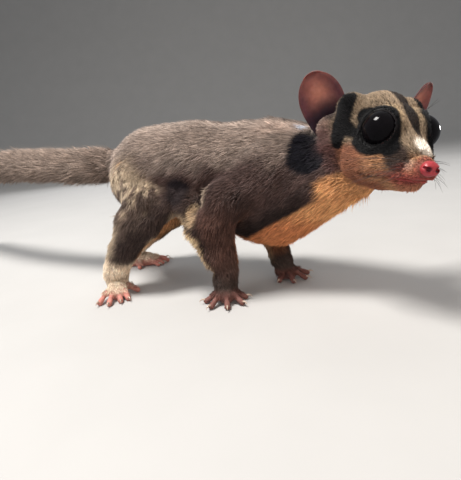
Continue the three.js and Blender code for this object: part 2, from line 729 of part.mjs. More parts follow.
// The tail, in three lengths. The locks of each lie over the start of the next, which is cut by them.
function addTail(parent, trunkRoom) {
  const { part, sides, rings } = CORE;
  const core = TAIL.map(([x, y, z, radius]) => [x, y, z, radius * part]);
  const locks = tailLocks();
  const lengths = ["tail_base", "tail_mid", "tail_tip"];
  const edges = [0, ...TAIL_CUTS, 1];
  let rest = tube(core, sides, rings).subtract(trunkRoom);
  let restSwollen = tube(core, sides, rings, GAP);
  let taken = trunkRoom;
  lengths.forEach((name, i) => {
    let [piece, swollen] = [rest, restSwollen];
    if (i < TAIL_CUTS.length) {
      const at = tailLine.curve.getPointAt(edges[i + 1]).toArray();
      const along = tailLine.curve.getTangentAt(edges[i + 1]).toArray();
      [piece, rest] = parted(rest, at, along);
      [swollen, restSwollen] = parted(restSwollen, at, along);
    }
    const own = locks.filter((lock) => lock.far >= edges[i] && lock.far < edges[i + 1]);
    const coat = joined([piece, ...own.map((lock) => lockSolid(lock))]);
    addMesh(parent, name, coat.subtract(taken), FINISH.tail);
    taken = joined([swollen, ...own.map((lock) => lockSolid(lock, GAP))]);
  });
}

const group = new THREE.Group();
group.position.set(...scale(ORIGIN, -1));
const trunkSwollen = surfaceNet(trunkField, ...TRUNK_BOX, STEP.torso, GAP);
const trunkRoom = solid(trunkSwollen);
const headRoom = addHead(group, trunkSwollen);
addBody(group, headRoom, trunkRoom);
addTail(group, trunkRoom);

export default group;
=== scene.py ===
"""The looks of a life-size sugar glider that stands on four feet with its head turned to its right.

One skin stands for all the flesh. Solid tufts of fur lie over it, and the eyes, lids, ears, nose, lips,
claws and whiskers are pieces of their own. Sizes are in millimetres in the body's frame: +X forward, +Y to
its left, +Z up, the soles at z = 0. They become metres when a mesh is made.
"""

from __future__ import annotations

import logging
import math
import sys
from dataclasses import dataclass, field
from enum import Enum, IntEnum
from functools import reduce
from typing import Callable, Iterable, Sequence

import bpy
import numpy as np
from mathutils import Matrix

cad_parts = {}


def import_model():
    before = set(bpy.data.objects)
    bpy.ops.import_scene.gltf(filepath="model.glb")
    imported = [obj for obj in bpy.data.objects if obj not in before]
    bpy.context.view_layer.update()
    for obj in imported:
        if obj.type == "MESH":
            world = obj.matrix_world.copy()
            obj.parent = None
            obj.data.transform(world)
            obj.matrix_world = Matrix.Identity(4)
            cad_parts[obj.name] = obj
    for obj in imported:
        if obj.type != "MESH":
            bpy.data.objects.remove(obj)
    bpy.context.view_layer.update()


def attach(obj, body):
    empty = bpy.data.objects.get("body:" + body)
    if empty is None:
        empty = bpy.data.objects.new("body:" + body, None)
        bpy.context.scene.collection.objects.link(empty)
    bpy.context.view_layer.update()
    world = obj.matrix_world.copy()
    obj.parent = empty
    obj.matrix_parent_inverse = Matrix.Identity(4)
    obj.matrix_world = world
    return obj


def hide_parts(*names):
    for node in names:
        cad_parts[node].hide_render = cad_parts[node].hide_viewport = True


log = logging.getLogger("glider")

Array = np.ndarray
Point = Sequence[float]
Shape = Sequence  # the middle and half lengths of an egg, or the ends and radii of a round cone

ORIGIN = np.array([-68.93, -3.11, 0.0])  # the row's origin in the body's frame
MM = 0.001
SEED = 20
FAR = 1e3
TINY = 1e-9
UPWARD = np.array([0, 0, 1.0])


class Slot(Enum):
    """The record's material slots."""

    BACK = "fur_back"
    HEAD = "fur_head"
    TAIL = "fur_tail"
    EDGE = "fur_edge"
    EAR = "ear"
    EYE = "eye"
    NOSE = "nose"
    PAW = "paw"


class Region(Enum):
    """What a part of the body is, in the word that its name begins with."""

    TRUNK = "trunk"
    TAIL = "tail"
    HEAD = "head"
    FOLD = "fold"
    ARM = "arm"
    LEG = "leg"
    HAND = "hand"
    FOOT = "foot"


class Side(IntEnum):
    """The two sides of the body, by the sign of y."""

    RIGHT = -1
    LEFT = 1

    @property
    def label(self) -> str:
        """The side's name as the pieces' names hold it."""
        return self.name.lower()

    @property
    def flip(self) -> Array:
        """What turns a point on the left half into this side's."""
        return np.array([1, int(self), 1])


# Small maths on arrays of points


def unit(v: Array) -> Array:
    """Scales each vector to length one."""
    return v / np.maximum(np.linalg.norm(v, axis=-1, keepdims=True), TINY)


def smooth(low: float, high: float, x: Array) -> Array:
    """Goes smoothly from 0 at `low` to 1 at `high`, which may be the lower of the two."""
    t = np.clip((x - low) / (high - low), 0.0, 1.0)
    return t * t * (3 - 2 * t)


def blend(a: Array, b: Array, width: float) -> Array:
    """The smaller of two distances, with a fillet of a given width."""
    h = np.maximum(width - np.abs(a - b), 0) / width
    return np.minimum(a, b) - h * h * width / 4


def carve(a: Array, b: Array, width: float) -> Array:
    """Takes the shape `b` out of the shape `a`, with an edge rounded over a given width."""
    return -blend(-a, b, width)


def left_half(q: Array) -> Array:
    """Points of a form that is the same on both sides, all brought to its left half."""
    return np.stack([q[:, 0], np.abs(q[:, 1]), q[:, 2]], axis=1)


def egg(p: Array, middle: Point, half: Point) -> Array:
    """The distance to an egg with its three half lengths along the axes.

    Args:
        p: Points in rows.
        middle: The egg's middle.
        half: Its half lengths.

    Returns:
        The distance of each point, negative inside.
    """
    q = p - np.asarray(middle, float)
    r = np.asarray(half, float)
    k0 = np.linalg.norm(q / r, axis=-1)
    k1 = np.linalg.norm(q / (r * r), axis=-1)
    return k0 * (k0 - 1) / np.maximum(k1, TINY)


def cone(p: Array, a: Point, b: Point, ra: float, rb: float) -> Array:
    """The distance to a cone with round ends.

    Args:
        p: Points in rows.
        a: The first end.
        b: The second end.
        ra: The radius at the first end.
        rb: The radius at the second end.

    Returns:
        The distance of each point, negative inside.
    """
    a, b = np.asarray(a, float), np.asarray(b, float)
    axis = b - a
    length = float(np.linalg.norm(axis))
    along = (p - a) @ (axis / length)
    across = np.sqrt(np.maximum(((p - a) ** 2).sum(-1) - along**2, 0))
    slope = (ra - rb) / length
    flank = math.sqrt(max(1 - slope * slope, 1e-6))
    at = along + across * slope / flank
    middle = across * flank + along * slope - ra
    start = np.hypot(across, along) - ra
    end = np.hypot(across, along - length) - rb
    return np.where(at < 0, start, np.where(at > length, end, middle))


def solid(p: Array, shape: Shape) -> Array:
    """The distance to an egg, which has two values, or to a round cone, which has four."""
    return egg(p, *shape) if len(shape) == 2 else cone(p, *shape)


def joined(p: Array, first: Shape, others: Iterable[tuple[Shape, float]]) -> Array:
    """The distance to shapes that are blended in turn.

    Args:
        p: Points in rows.
        first: The first shape.
        others: The others, each with the fillet where it meets those before it.

    Returns:
        The distance of each point, negative inside.
    """
    total = solid(p, first)
    for shape, fillet in others:
        total = blend(total, solid(p, shape), fillet)
    return total


def noise(p: Array, size: float, seed: int) -> Array:
    """Smooth value noise.

    Args:
        p: Points in rows.
        size: The size of its lumps.
        seed: Which noise.

    Returns:
        A value from -1 to 1 at each point.
    """
    primes = (73856093, 19349663, 83492791)
    q = p / size
    cell = np.floor(q).astype(np.int64)
    f = q - cell
    f = f * f * (3 - 2 * f)
    total = np.zeros(len(p))
    for corner in range(8):
        step = np.array([corner & 1, (corner >> 1) & 1, (corner >> 2) & 1])
        c = (cell + step) * primes
        h = c[:, 0] ^ c[:, 1] ^ c[:, 2] ^ (seed * 2654435761)
        h = (h ^ (h >> 13)) * 1274126177
        value = ((h ^ (h >> 16)) & 0xFFFF) / 32767.5 - 1
        total += value * np.prod(np.where(step, f, 1 - f), axis=1)
    return total


def turned(yaw: float, pitch: float, roll: float) -> Array:
    """The rotation that rolls about X, then pitches about Y, then yaws about Z.

    Args:
        yaw: Degrees about Z.
        pitch: Degrees about Y.
        roll: Degrees about X.

    Returns:
        The rotation matrix.
    """
    (cy, cp, cr), (sy, sp, sr) = (f(np.radians([yaw, pitch, roll])) for f in (np.cos, np.sin))
    about_z = np.array([[cy, -sy, 0], [sy, cy, 0], [0, 0, 1]])
    about_y = np.array([[cp, 0, sp], [0, 1, 0], [-sp, 0, cp]])
    about_x = np.array([[1, 0, 0], [0, cr, -sr], [0, sr, cr]])
    return about_z @ about_y @ about_x


def through(points: Array, steps: int) -> Array:
    """A smooth line through points.

    Args:
        points: The points in rows, with any number of columns.
        steps: How many pieces each span becomes.

    Returns:
        The finer line.
    """
    first, last = 2 * points[:1] - points[1:2], 2 * points[-1:] - points[-2:-1]
    whole = np.concatenate([first, points, last])
    out = []
    for i in range(len(points) - 1):
        a, b, c, d = whole[i : i + 4]
        t = np.arange(steps)[:, None] / steps
        bend = (2 * a - 5 * b + 4 * c - d) * t**2 + (3 * b - a - 3 * c + d) * t**3
        out.append(b + 0.5 * ((c - a) * t + bend))
    return np.concatenate([*out, points[-1:]])


def linear(*srgb: float) -> Array:
    """A colour given as it looks on a screen, 0 to 255, in linear light."""
    c = np.array(srgb) / 255
    return np.where(c <= 0.04045, c / 12.92, ((c + 0.055) / 1.055) ** 2.4)


def layered(base: Array, layers: Iterable[tuple[Array, Array | float]]) -> Array:
    """Lays colours over a base, one after the other.

    Args:
        base: The colours at the start.
        layers: Each colour with its amount, from 0 to 1 for each point.

    Returns:
        The mixed colours.
    """
    total = base
    for colour, amount in layers:
        share = np.broadcast_to(np.clip(amount, 0, 1), base.shape[:-1])
        total = total + (colour - total) * share[..., None]
    return total


def place(*values: float) -> Array:
    """A dataclass field that holds a point, a direction or a row of sizes."""
    return field(default_factory=lambda: np.array(values, float))


def tone(*srgb: float) -> Array:
    """A dataclass field that holds a colour, given as it looks on a screen."""
    return field(default_factory=lambda: linear(*srgb))


# The parts of the body


@dataclass(frozen=True)
class Pelt:
    """How the coat of one part grows."""

    length: float  # hair length
    width: float  # width of a tuft at its widest
    lift: float  # how far the tips stand off the skin
    density: float  # tufts to a square millimetre of skin

    def row(self) -> Array:
        """The four values in one row."""
        return np.array([self.length, self.width, self.lift, self.density])


@dataclass
class Part:
    """A part of the body."""

    name: str
    pelt: Pelt
    join: float  # the fillet where it meets the parts before it
    # the lowest and the highest corner round it
    box: Array = field(default_factory=lambda: np.zeros((2, 3)))

    @property
    def region(self) -> Region:
        """What the part is."""
        return Region(self.name.split("_")[0])

    def distance(self, p: Array) -> Array:
        """The distance of points from the part's skin, negative inside."""
        raise NotImplementedError

    def flow(self, p: Array) -> Array:
        """The way the coat lies at points, not yet laid along the skin."""
        raise NotImplementedError

    def near(self, p: Array, room: float) -> Array:
        """Tells which points are in the part's box, or no farther from it than some room."""
        return np.all((p > self.box[0] - room) & (p < self.box[1] + room), axis=1)


@dataclass
class Trunk(Part):
    """Rump, back, chest and neck."""

    rump: Shape = ((-30, 0, 47.2), (17.9, 14.4, 17.4))
    back: Shape = ((-9, 0, 50), (28.4, 14.9, 16.3))
    chest: Shape = ((22, 0, 41.4), (22, 13.7, 22.0))
    neck: Shape = ((36, 0, 45), (55, -2, 49.5), 13.7, 10.5)
    throat: Shape = ((30, -1, 34.8), (59, -9.5, 44.0), 11.7, 5.3)
    fillet: float = 10
    throat_fillet: float = 6
    half_width: float = 17
    # how steeply the coat hangs on the back, and how much more on the flanks
    hang: tuple[float, float] = (0.15, 0.55)
    parting: float = 0.1

    def __post_init__(self) -> None:
        """Sets the box."""
        self.box = np.array([[-52.0, -22, 18], [70, 20, 70]])

    def distance(self, p: Array) -> Array:
        """The distance of points from the trunk's skin, negative inside."""
        others = [(shape, self.fillet) for shape in (self.back, self.chest, self.neck)]
        return joined(p, self.rump, [*others, (self.throat, self.throat_fillet)])

    def flow(self, p: Array) -> Array:
        """Back along the body, and down and a little outwards on the flanks."""
        out = p[:, 1] / self.half_width
        return np.stack([0 * out - 1, self.parting * out, -self.hang[0] - self.hang[1] * np.abs(out)], axis=1)


@dataclass
class Chain(Part):
    """Round cones through stations: a limb, a fold of membrane or the tail."""

    stations: Array = field(default_factory=lambda: np.zeros((2, 4)))  # rows of x, y, z and radius
    depths: Array = field(default_factory=lambda: np.zeros(2))  # how deep the coat is at each station
    fillet: float = 4.0
    lie: Array = place(0, 0, 0)  # a direction that the coat leans to, besides the way of the cones
    steps: int = 1  # how many cones each span becomes
    least: float = 0.5
    share_reach: float = 3  # how far from a cone the coat still follows it

    def __post_init__(self) -> None:
        """Takes the coat's depth off the radii, smooths the line and sets the box."""
        self.stations = np.array(self.stations, float)
        self.stations[:, 3] = np.maximum(self.stations[:, 3] - self.depths, self.least)
        if self.steps > 1:
            self.stations = through(self.stations, self.steps)
        places, radii = self.stations[:, :3], self.stations[:, 3:]
        self.box = np.array([(places - radii).min(0), (places + radii).max(0)])

    def pieces(self, p: Array) -> list[Array]:
        """The distance of points from each of the cones."""
        pairs = zip(self.stations[:-1], self.stations[1:])
        return [cone(p, a[:3], b[:3], a[3], b[3]) for a, b in pairs]

    def distance(self, p: Array) -> Array:
        """The distance of points from the chain's skin, negative inside."""
        return reduce(lambda a, b: blend(a, b, self.fillet), self.pieces(p))

    def flow(self, p: Array) -> Array:
        """Along the nearest cones, with a lean."""
        near = np.exp(-np.stack(self.pieces(p), axis=1) / self.share_reach)
        return unit(near @ unit(np.diff(self.stations[:, :3], axis=0))) + self.lie


@dataclass(frozen=True)
class PawKind:
    """The plan of a hand or a foot."""

    # reach along the heading, height and radius of each ball of the sole
    sole: tuple[tuple[float, float, float], ...]
    # angle towards the thumb's side, reach and root radius of each digit
    digits: tuple[tuple[float, float, float], ...]
    clawless: int  # the digit without a claw, or -1
    # where the fur of its back has its middle, along the heading, and how far it reaches
    furred: tuple[float, float]


HAND = PawKind(
    ((-1, 7.5, 3.9), (0.3, 3.1, 3.9), (2.6, 2.6, 3.2)),
    ((82, 7.4, 1.1), (42, 9.2, 1.1), (4, 9.8, 1.1), (-34, 9.8, 1.1), (-74, 8.2, 1.1)),
    -1,
    (-0.5, 6.4),
)
FOOT = PawKind(
    ((-1.5, 8, 4.5), (-2, 3.4, 3.9), (4.5, 2.7, 3.5), (8, 2.4, 3)),
    ((65, 9.2, 1.5), (19, 13.2, 1.15), (5, 13.8, 1.15), (-12, 15.4, 1.25), (-30, 14.2, 1.2)),
    0,
    (2.5, 8.4),
)


@dataclass
class Paw(Part):
    """A hand or foot, with digits that end in round pads."""

    kind: PawKind = HAND
    at: Point = (0, 0)  # where the palm's middle stands
    heading: float = 0  # degrees from +X
    side: Side = Side.LEFT
    wrist: Point = (0, 0, 0, 1)  # the limb's last station
    shrink: float = 0.25  # how much thinner the sole is than its plan, under the short fur
    sole_fillet: float = 2
    fillet: float = 1.2
    root_height: float = 2.8
    knuckle: float = 3.1
    tip: tuple[float, float] = (1.6, 1.75)  # how far before the end a digit's last joint is, and its height
    pad: float = 1.1
    finger: float = 0.78  # radius of the last joint, and the knuckle's radius as a part of the root's
    low: float = 5  # below this height the digits are bare
    droop: float = 0.8

    def __post_init__(self) -> None:
        """Lays out the sole and the digits and sets the box."""
        reach = max(length for _, length, _ in self.kind.digits) + 4
        at = np.array(self.at)
        low = np.minimum(at - reach, np.array(self.wrist[:2]) - 6)
        high = np.maximum(at + reach, np.array(self.wrist[:2]) + 6)
        self.box = np.array([[*low, -2.0], [*high, self.wrist[2] + 3]])
        self.axis = self.way(self.heading)
        self.digits = [self.digit(*plan) for plan in self.kind.digits]

    def way(self, degrees: float) -> Array:
        """The level direction at an angle from +X."""
        return np.array([math.cos(math.radians(degrees)), math.sin(math.radians(degrees)), 0.0])

    def toward(self, spread: float) -> Array:
        """The level direction of a digit, by its angle from the heading towards the thumb's side."""
        return self.way(self.heading - self.side * spread)

    def ahead(self, way: Array, reach: float, height: float) -> Array:
        """The point at a reach along a level direction and a height above the floor."""
        return np.array([*self.at, height]) + way * reach

    def digit(self, spread: float, length: float, root: float) -> list[tuple[Array, float]]:
        """The joints of one digit.

        Args:
            spread: Degrees from the heading towards the thumb's side.
            length: Reach from the palm's middle.
            root: Radius at its root.

        Returns:
            Each joint's place and radius.
        """
        way = self.toward(spread)
        start = max(length * 0.45 - 3, 0)
        before, height = self.tip
        return [
            (self.ahead(way, start, self.root_height), root),
            (self.ahead(way, (start + length) / 2, self.knuckle), self.finger * root),
            (self.ahead(way, length - before, height), self.finger),
            (self.ahead(way, length - 0.1, self.pad), self.pad),
        ]

    def distance(self, p: Array) -> Array:
        """The distance from the paw's skin.

        Args:
            p: Points in rows.

        Returns:
            The distances, negative inside.
        """
        stations = [(np.array(self.wrist[:3]), self.wrist[3] - self.shrink)]
        stations += [(self.ahead(self.axis, r, z), radius - self.shrink) for r, z, radius in self.kind.sole]
        first, *others = self.cones(stations)
        fillets = [(shape, self.sole_fillet) for shape in others]
        for joints in self.digits:
            fillets += [(shape, self.fillet) for shape in self.cones(joints)]
        return joined(p, first, fillets)

    @staticmethod
    def cones(stations: Sequence[tuple[Array, float]]) -> list[Shape]:
        """The round cones between stations, each a place and a radius."""
        return [(a, b, ra, rb) for (a, ra), (b, rb) in zip(stations[:-1], stations[1:])]

    def flow(self, p: Array) -> Array:
        """Along the paw and down, the same at every point."""
        return np.tile(self.axis + [0, 0, -self.droop], (len(p), 1))

    def on_digit(self, p: Array) -> Array:
        """Tells which points are on the bare part of the digits."""
        away = p[:, :2] - np.array(self.at) - self.axis[:2] * self.kind.furred[0]
        return (np.hypot(*away.T) > self.kind.furred[1]) & (p[:, 2] < self.low)

    def claws(self) -> list[tuple[Array, Array]]:
        """The root and the level direction of each claw."""
        clawed = [i for i in range(len(self.digits)) if i != self.kind.clawless]
        return [(self.digits[i][-1][0], self.toward(self.kind.digits[i][0])) for i in clawed]


@dataclass
class Head(Part):
    """The head. Its own frame has x to the nose, y to its left and z to the crown."""

    at: Array = place(67, -12, 52.7)
    turn: Array = field(default_factory=lambda: turned(-54, 1, -9))
    eye: Array = place(8.1, 6.5, 4.5)
    eye_radius: float = 5.35
    look: Array = field(default_factory=lambda: unit(np.array([0.5, 0.85, 0.15])))
    nose: Array = place(23.2, 0, -5.6)
    cranium: Shape = ((-4, 0, 2.6), (13.3, 11.4, 13.4))
    cheek: Shape = ((3, 7.3, -4.2), (8.1, 4.9, 6))
    snout: Shape = ((8, 0, -2.2), (19.9, 0, -5.9), 7.9, 3.35)
    jaw: Shape = ((3, 0, -8), (17.4, 0, -9.3), 4.6, 2.3)
    # the egg beside the nose that the whiskers grow from
    muzzle: Shape = ((19.6, 2.1, -6.6), (2.6, 2.0, 2.2))
    # the half lengths of the swelling round the eye, and how far it lies behind the eye
    orbit: tuple[Point, float] = ((6.2, 5.7, 6.1), 0.8)
    temple: Shape = ((-4.6, 9.2, 4.0), (-4.6, 9.8, 11.0), 4.2, 3.9)
    mound: Shape = ((-9.0, 11.8, 1.6), (-9.6, 13.6, 4.4), 4.7, 4.0)
    window: float = 3.4  # how far ahead of the eye's middle the ball that opens the skin lies
    crease: float = 0.5  # the rounding of the edges of the eye's opening and of the mouth
    mouth_axis: Array = place(12, 0, 0)  # the middle that the line of the mouth runs round
    mouth_height: tuple[float, float] = (-8.75, -8.0)  # its height at the front and at the corners
    mouth_reach: float = 118.0  # how far round it runs on each side, in degrees
    groove_radius: float = 0.36
    parting: Array = place(3, 0, 0)  # the point ahead of the nose that the coat runs away from
    # how strongly the coat runs away from the eye, and over what distance
    whorl: tuple[float, float] = (0.9, 6)

    def __post_init__(self) -> None:
        """Sets the box and finds the line of the mouth."""
        self.box = np.array([[44.0, -40, 32], [93, 12, 78]])
        self.mouth = self.lip_line(0.0, 12, 0.0)

    def lip_line(self, rise: float, count: int, out: float) -> Array:
        """A line round the snout, just over or under the mouth.

        Args:
            rise: Height over the line of the mouth.
            count: How many points on the left half, from the front to the corner.
            out: How far out of the skin.

        Returns:
            Points in the head's frame.
        """
        angle = np.radians(np.linspace(0, self.mouth_reach, count))
        low, high = self.mouth_height
        z = low + (high - low) * (angle / angle[-1]) ** 2 + rise
        way = np.stack([np.cos(angle), np.sin(angle), 0 * angle], axis=1)
        near, far = np.zeros(count), np.full(count, 16.0)
        for _ in range(24):
            middle = (near + far) / 2
            p = self.mouth_axis + way * middle[:, None] + UPWARD * z[:, None]
            inside = self.form(p) < out
            near, far = np.where(inside, middle, near), np.where(inside, far, middle)
        return self.mouth_axis + way * near[:, None] + UPWARD * z[:, None]

    def inside(self, p: Array) -> Array:
        """Points of the body's frame in the head's frame."""
        return (p - self.at) @ self.turn

    def outside(self, q: Array) -> Array:
        """Points of the head's frame in the body's frame."""
        return q @ self.turn.T + self.at

    def form(self, q: Array) -> Array:
        """The distance from the head without its openings.

        Args:
            q: Points in the head's frame.

        Returns:
            The distances, negative inside.
        """
        half, behind = self.orbit
        others = (
            (self.cheek, 5),
            (self.snout, 5),
            (self.jaw, 2.2),
            (self.muzzle, 1.6),
            ((self.eye - behind * self.look, half), 3),
            (self.temple, 4),
            (self.mound, 5),
        )
        return joined(left_half(q), self.cranium, others)

    def flesh(self, q: Array) -> Array:
        """The distance from the head's skin.

        Args:
            q: Points in the head's frame.

        Returns:
            The distances, negative inside.
        """
        m = left_half(q)
        window = np.linalg.norm(m - self.eye - self.window * self.look, axis=1) - self.eye_radius
        total = carve(self.form(q), window, self.crease)
        return carve(total, self.groove(m), self.crease)

    def groove(self, m: Array) -> Array:
        """The distance from the line between the lips.

        Args:
            m: Points in the head's frame, on its left half.

        Returns:
            The distances, worked out only in the front of the head.
        """
        total = np.full(len(m), 50.0)
        near = m[:, 0] > 3
        radius = self.groove_radius
        for a, b in zip(self.mouth[:-1], self.mouth[1:]):
            total[near] = np.minimum(total[near], cone(m[near], a, b, radius, radius))
        return total

    def off_eye(self, m: Array) -> Array:
        """The distance of points on the left half from the eyeball."""
        return np.linalg.norm(m - self.eye, axis=1) - self.eye_radius

    def distance(self, p: Array) -> Array:
        """The distance of points in the body's frame from the head's skin, negative inside."""
        return self.flesh(self.inside(p))

    def flow(self, p: Array) -> Array:
        """Away from the nose, and from the nearer eye.

        Args:
            p: Points in the body's frame.

        Returns:
            A direction at each point.
        """
        strength, reach = self.whorl
        q = self.inside(p)
        side = np.sign(q[:, 1]) + (q[:, 1] == 0)
        eye = q - self.eye * np.stack([np.ones(len(q)), side, np.ones(len(q))], axis=1)
        round_eye = unit(eye) * np.exp(-np.linalg.norm(eye, axis=1) / reach)[:, None]
        away = unit(q - (self.nose + self.parting)) + strength * round_eye
        return away @ self.turn.T


@dataclass(frozen=True)
class LimbPlan:
    """A limb and the paw that it ends in."""

    stations: tuple[Point, ...]  # x, y, z and radius, from the body down to the wrist
    kind: PawKind
    at: Point
    heading: float
    side: Side


LIMBS = {
    "arm_right": LimbPlan(
        ((27, -9.5, 46, 9.5), (12, -17, 37.5, 8.4), (8, -19.5, 29.5, 7), (11, -21, 11.5, 4.2)),
        HAND,
        (10.8, -22.3),
        -68,
        Side.RIGHT,
    ),
    "arm_left": LimbPlan(
        ((27, 9.5, 46, 9.5), (18, 17, 36, 8.2), (16, 16, 28.5, 7), (23, 7, 11.5, 4.2)),
        HAND,
        (25.5, 5.5),
        -8,
        Side.LEFT,
    ),
    "leg_right": LimbPlan(
        ((-32, -9.5, 45.5, 12), (-25, -17, 37.5, 8.6), (-29, -20, 30.5, 7.8), (-40, -23.5, 11.5, 4.6)),
        FOOT,
        (-41, -24),
        -52,
        Side.RIGHT,
    ),
    "leg_left": LimbPlan(
        ((-34, 9.5, 46, 12), (-31, 17, 36, 8.6), (-35, 17, 29, 7.6), (-57, 12.5, 11.5, 4.6)),
        FOOT,
        (-57.5, 12.5),
        14,
        Side.LEFT,
    ),
}
MEMBRANES = {
    "fold_right": (
        (7, -22.5, 17, 1.5),
        (1.5, -22.5, 28, 2.6),
        (-4, -17, 36.5, 3.6),
        (-13, -16, 37, 3.9),
        (-22, -21, 30, 3.4),
        (-33, -25, 20, 2),
    ),
    "fold_left": (
        (18, 12, 17, 1.5),
        (9.5, 18, 27, 2.6),
        (0, 16.5, 36, 3.6),
        (-13, 16, 37, 3.9),
        (-27, 20, 30, 3.4),
        (-45, 18, 19, 2),
    ),
}
TAIL = (
    (-40, 0, 53, 8.2),
    (-62, 0, 54, 7.8),
    (-82, 0.5, 55, 8.4),
    (-104, 1.5, 56.5, 8.8),
    (-128, 4, 57.5, 8.8),
    (-152, 8.5, 56.5, 8.4),
    (-176, 15, 52.5, 7.4),
    (-197, 23, 45.3, 5.8),
    (-209, 28.5, 40.5, 3.6),
)


@dataclass
class Anatomy:
    """All parts of the body, in the order in which they are blended."""

    parts: list[Part] = field(default_factory=list)
    floor: float = 0.03  # how far the soles' skin stays over the floor
    room: float = 9  # how far from its box a part still counts
    mixing: float = 1.1  # over what difference in distance two parts share the skin
    body: Pelt = Pelt(5.6, 0.36, 2.9, 8.8)
    face: Pelt = Pelt(2.5, 0.24, 0.95, 16.5)
    brush: Pelt = Pelt(10.5, 0.42, 5.0, 11.0)
    limb: Pelt = Pelt(4.4, 0.34, 2.0, 7.6)
    fold: Pelt = Pelt(4.6, 0.34, 1.8, 7.6)
    toes: Pelt = Pelt(1.9, 0.2, 0.5, 11.0)
    limb_depths: Point = (2.8, 2.3, 2.0, 0.8)  # how deep the coat is at each station of a limb
    fold_depths: Point = (0.5, 0.8, 0.9, 0.9, 0.8, 0.5)
    tail_depths: Point = (3.6, 4.3, 5.0, 5.5, 5.6, 5.5, 5.0, 4.0, 2.6)

    def __post_init__(self) -> None:
        """Builds the parts."""
        self.head = Head("head", self.face, 5)
        tail = Chain("tail", self.brush, 6, stations=TAIL, depths=self.tail_depths, fillet=1.0, steps=4)
        self.parts = [Trunk("trunk", self.body, 1), tail, self.head]
        for name, stations in MEMBRANES.items():
            fold = Chain(name, self.fold, 9, stations=stations, depths=self.fold_depths)
            fold.lie = np.array([-0.5, 0.0, -1.6])
            self.parts.append(fold)
        for name, plan in LIMBS.items():
            self.parts.append(Chain(name, self.limb, 6, stations=plan.stations, depths=self.limb_depths))
        for name, plan in LIMBS.items():
            self.parts.append(self.paw(name, plan))

    def paw(self, limb: str, plan: LimbPlan) -> Paw:
        """The paw of a limb.

        Args:
            limb: The limb's name.
            plan: Its plan.

        Returns:
            The paw.
        """
        return Paw(
            limb.replace("arm", "hand").replace("leg", "foot"),
            self.toes,
            1.5,
            kind=plan.kind,
            at=plan.at,
            heading=plan.heading,
            side=plan.side,
            wrist=tuple(self.parts[self.index(limb)].stations[-1]),
        )

    def paws(self) -> list[tuple[int, Paw]]:
        """The paws, each with its index."""
        return [(i, part) for i, part in enumerate(self.parts) if isinstance(part, Paw)]

    def index(self, name: str) -> int:
        """The place of a part in the list, by its name."""
        return [part.name for part in self.parts].index(name)

    def pelts(self) -> Array:
        """Each part's coat in a row: length, width, lift and density."""
        return np.stack([part.pelt.row() for part in self.parts])

    def distance(self, p: Array) -> Array:
        """The distance from the whole skin.

        Args:
            p: Points in rows.

        Returns:
            The distances, negative inside.
        """
        total = np.full(len(p), FAR)
        for part in self.parts:
            near = part.near(p, self.room)
            if near.any():
                total[near] = blend(total[near], part.distance(p[near]), part.join)
        return np.maximum(total, self.floor - p[:, 2])

    def gradient(self, p: Array, e: float = 0.08) -> Array:
        """The direction in which the distance grows, from samples a step `e` to each side."""
        steps = e * np.eye(3)
        return np.stack([(self.distance(p + s) - self.distance(p - s)) / (2 * e) for s in steps], axis=1)

    def shares(self, p: Array) -> Array:
        """How much each part has in the skin at each point.

        Args:
            p: Points in rows.

        Returns:
            One row for each point, one column for each part, with the sum 1.
        """
        away = [np.where(part.near(p, self.room), part.distance(p), 50) for part in self.parts]
        d = np.stack(away, axis=1)
        d -= d.min(axis=1, keepdims=True)
        w = np.exp(-d / self.mixing)
        return w / w.sum(axis=1, keepdims=True)


# The skin's mesh


@dataclass
class Grid:
    """A grid of planes, finer where the form is finer."""

    # stretches along x, each with its start, its end and the step between planes
    x: tuple[Point, ...] = ((-222, -64, 1.7), (-64, 45, 0.8), (45, 96, 0.62))
    y: tuple[Point, ...] = ((-42, 37, 0.72),)
    z: tuple[Point, ...] = ((-1.2, 12.5, 0.5), (12.5, 78, 0.8))

    def axes(self) -> list[Array]:
        """The planes along x, y and z, as three rising arrays."""
        return [np.concatenate([np.arange(*span) for span in axis]) for axis in (self.x, self.y, self.z)]


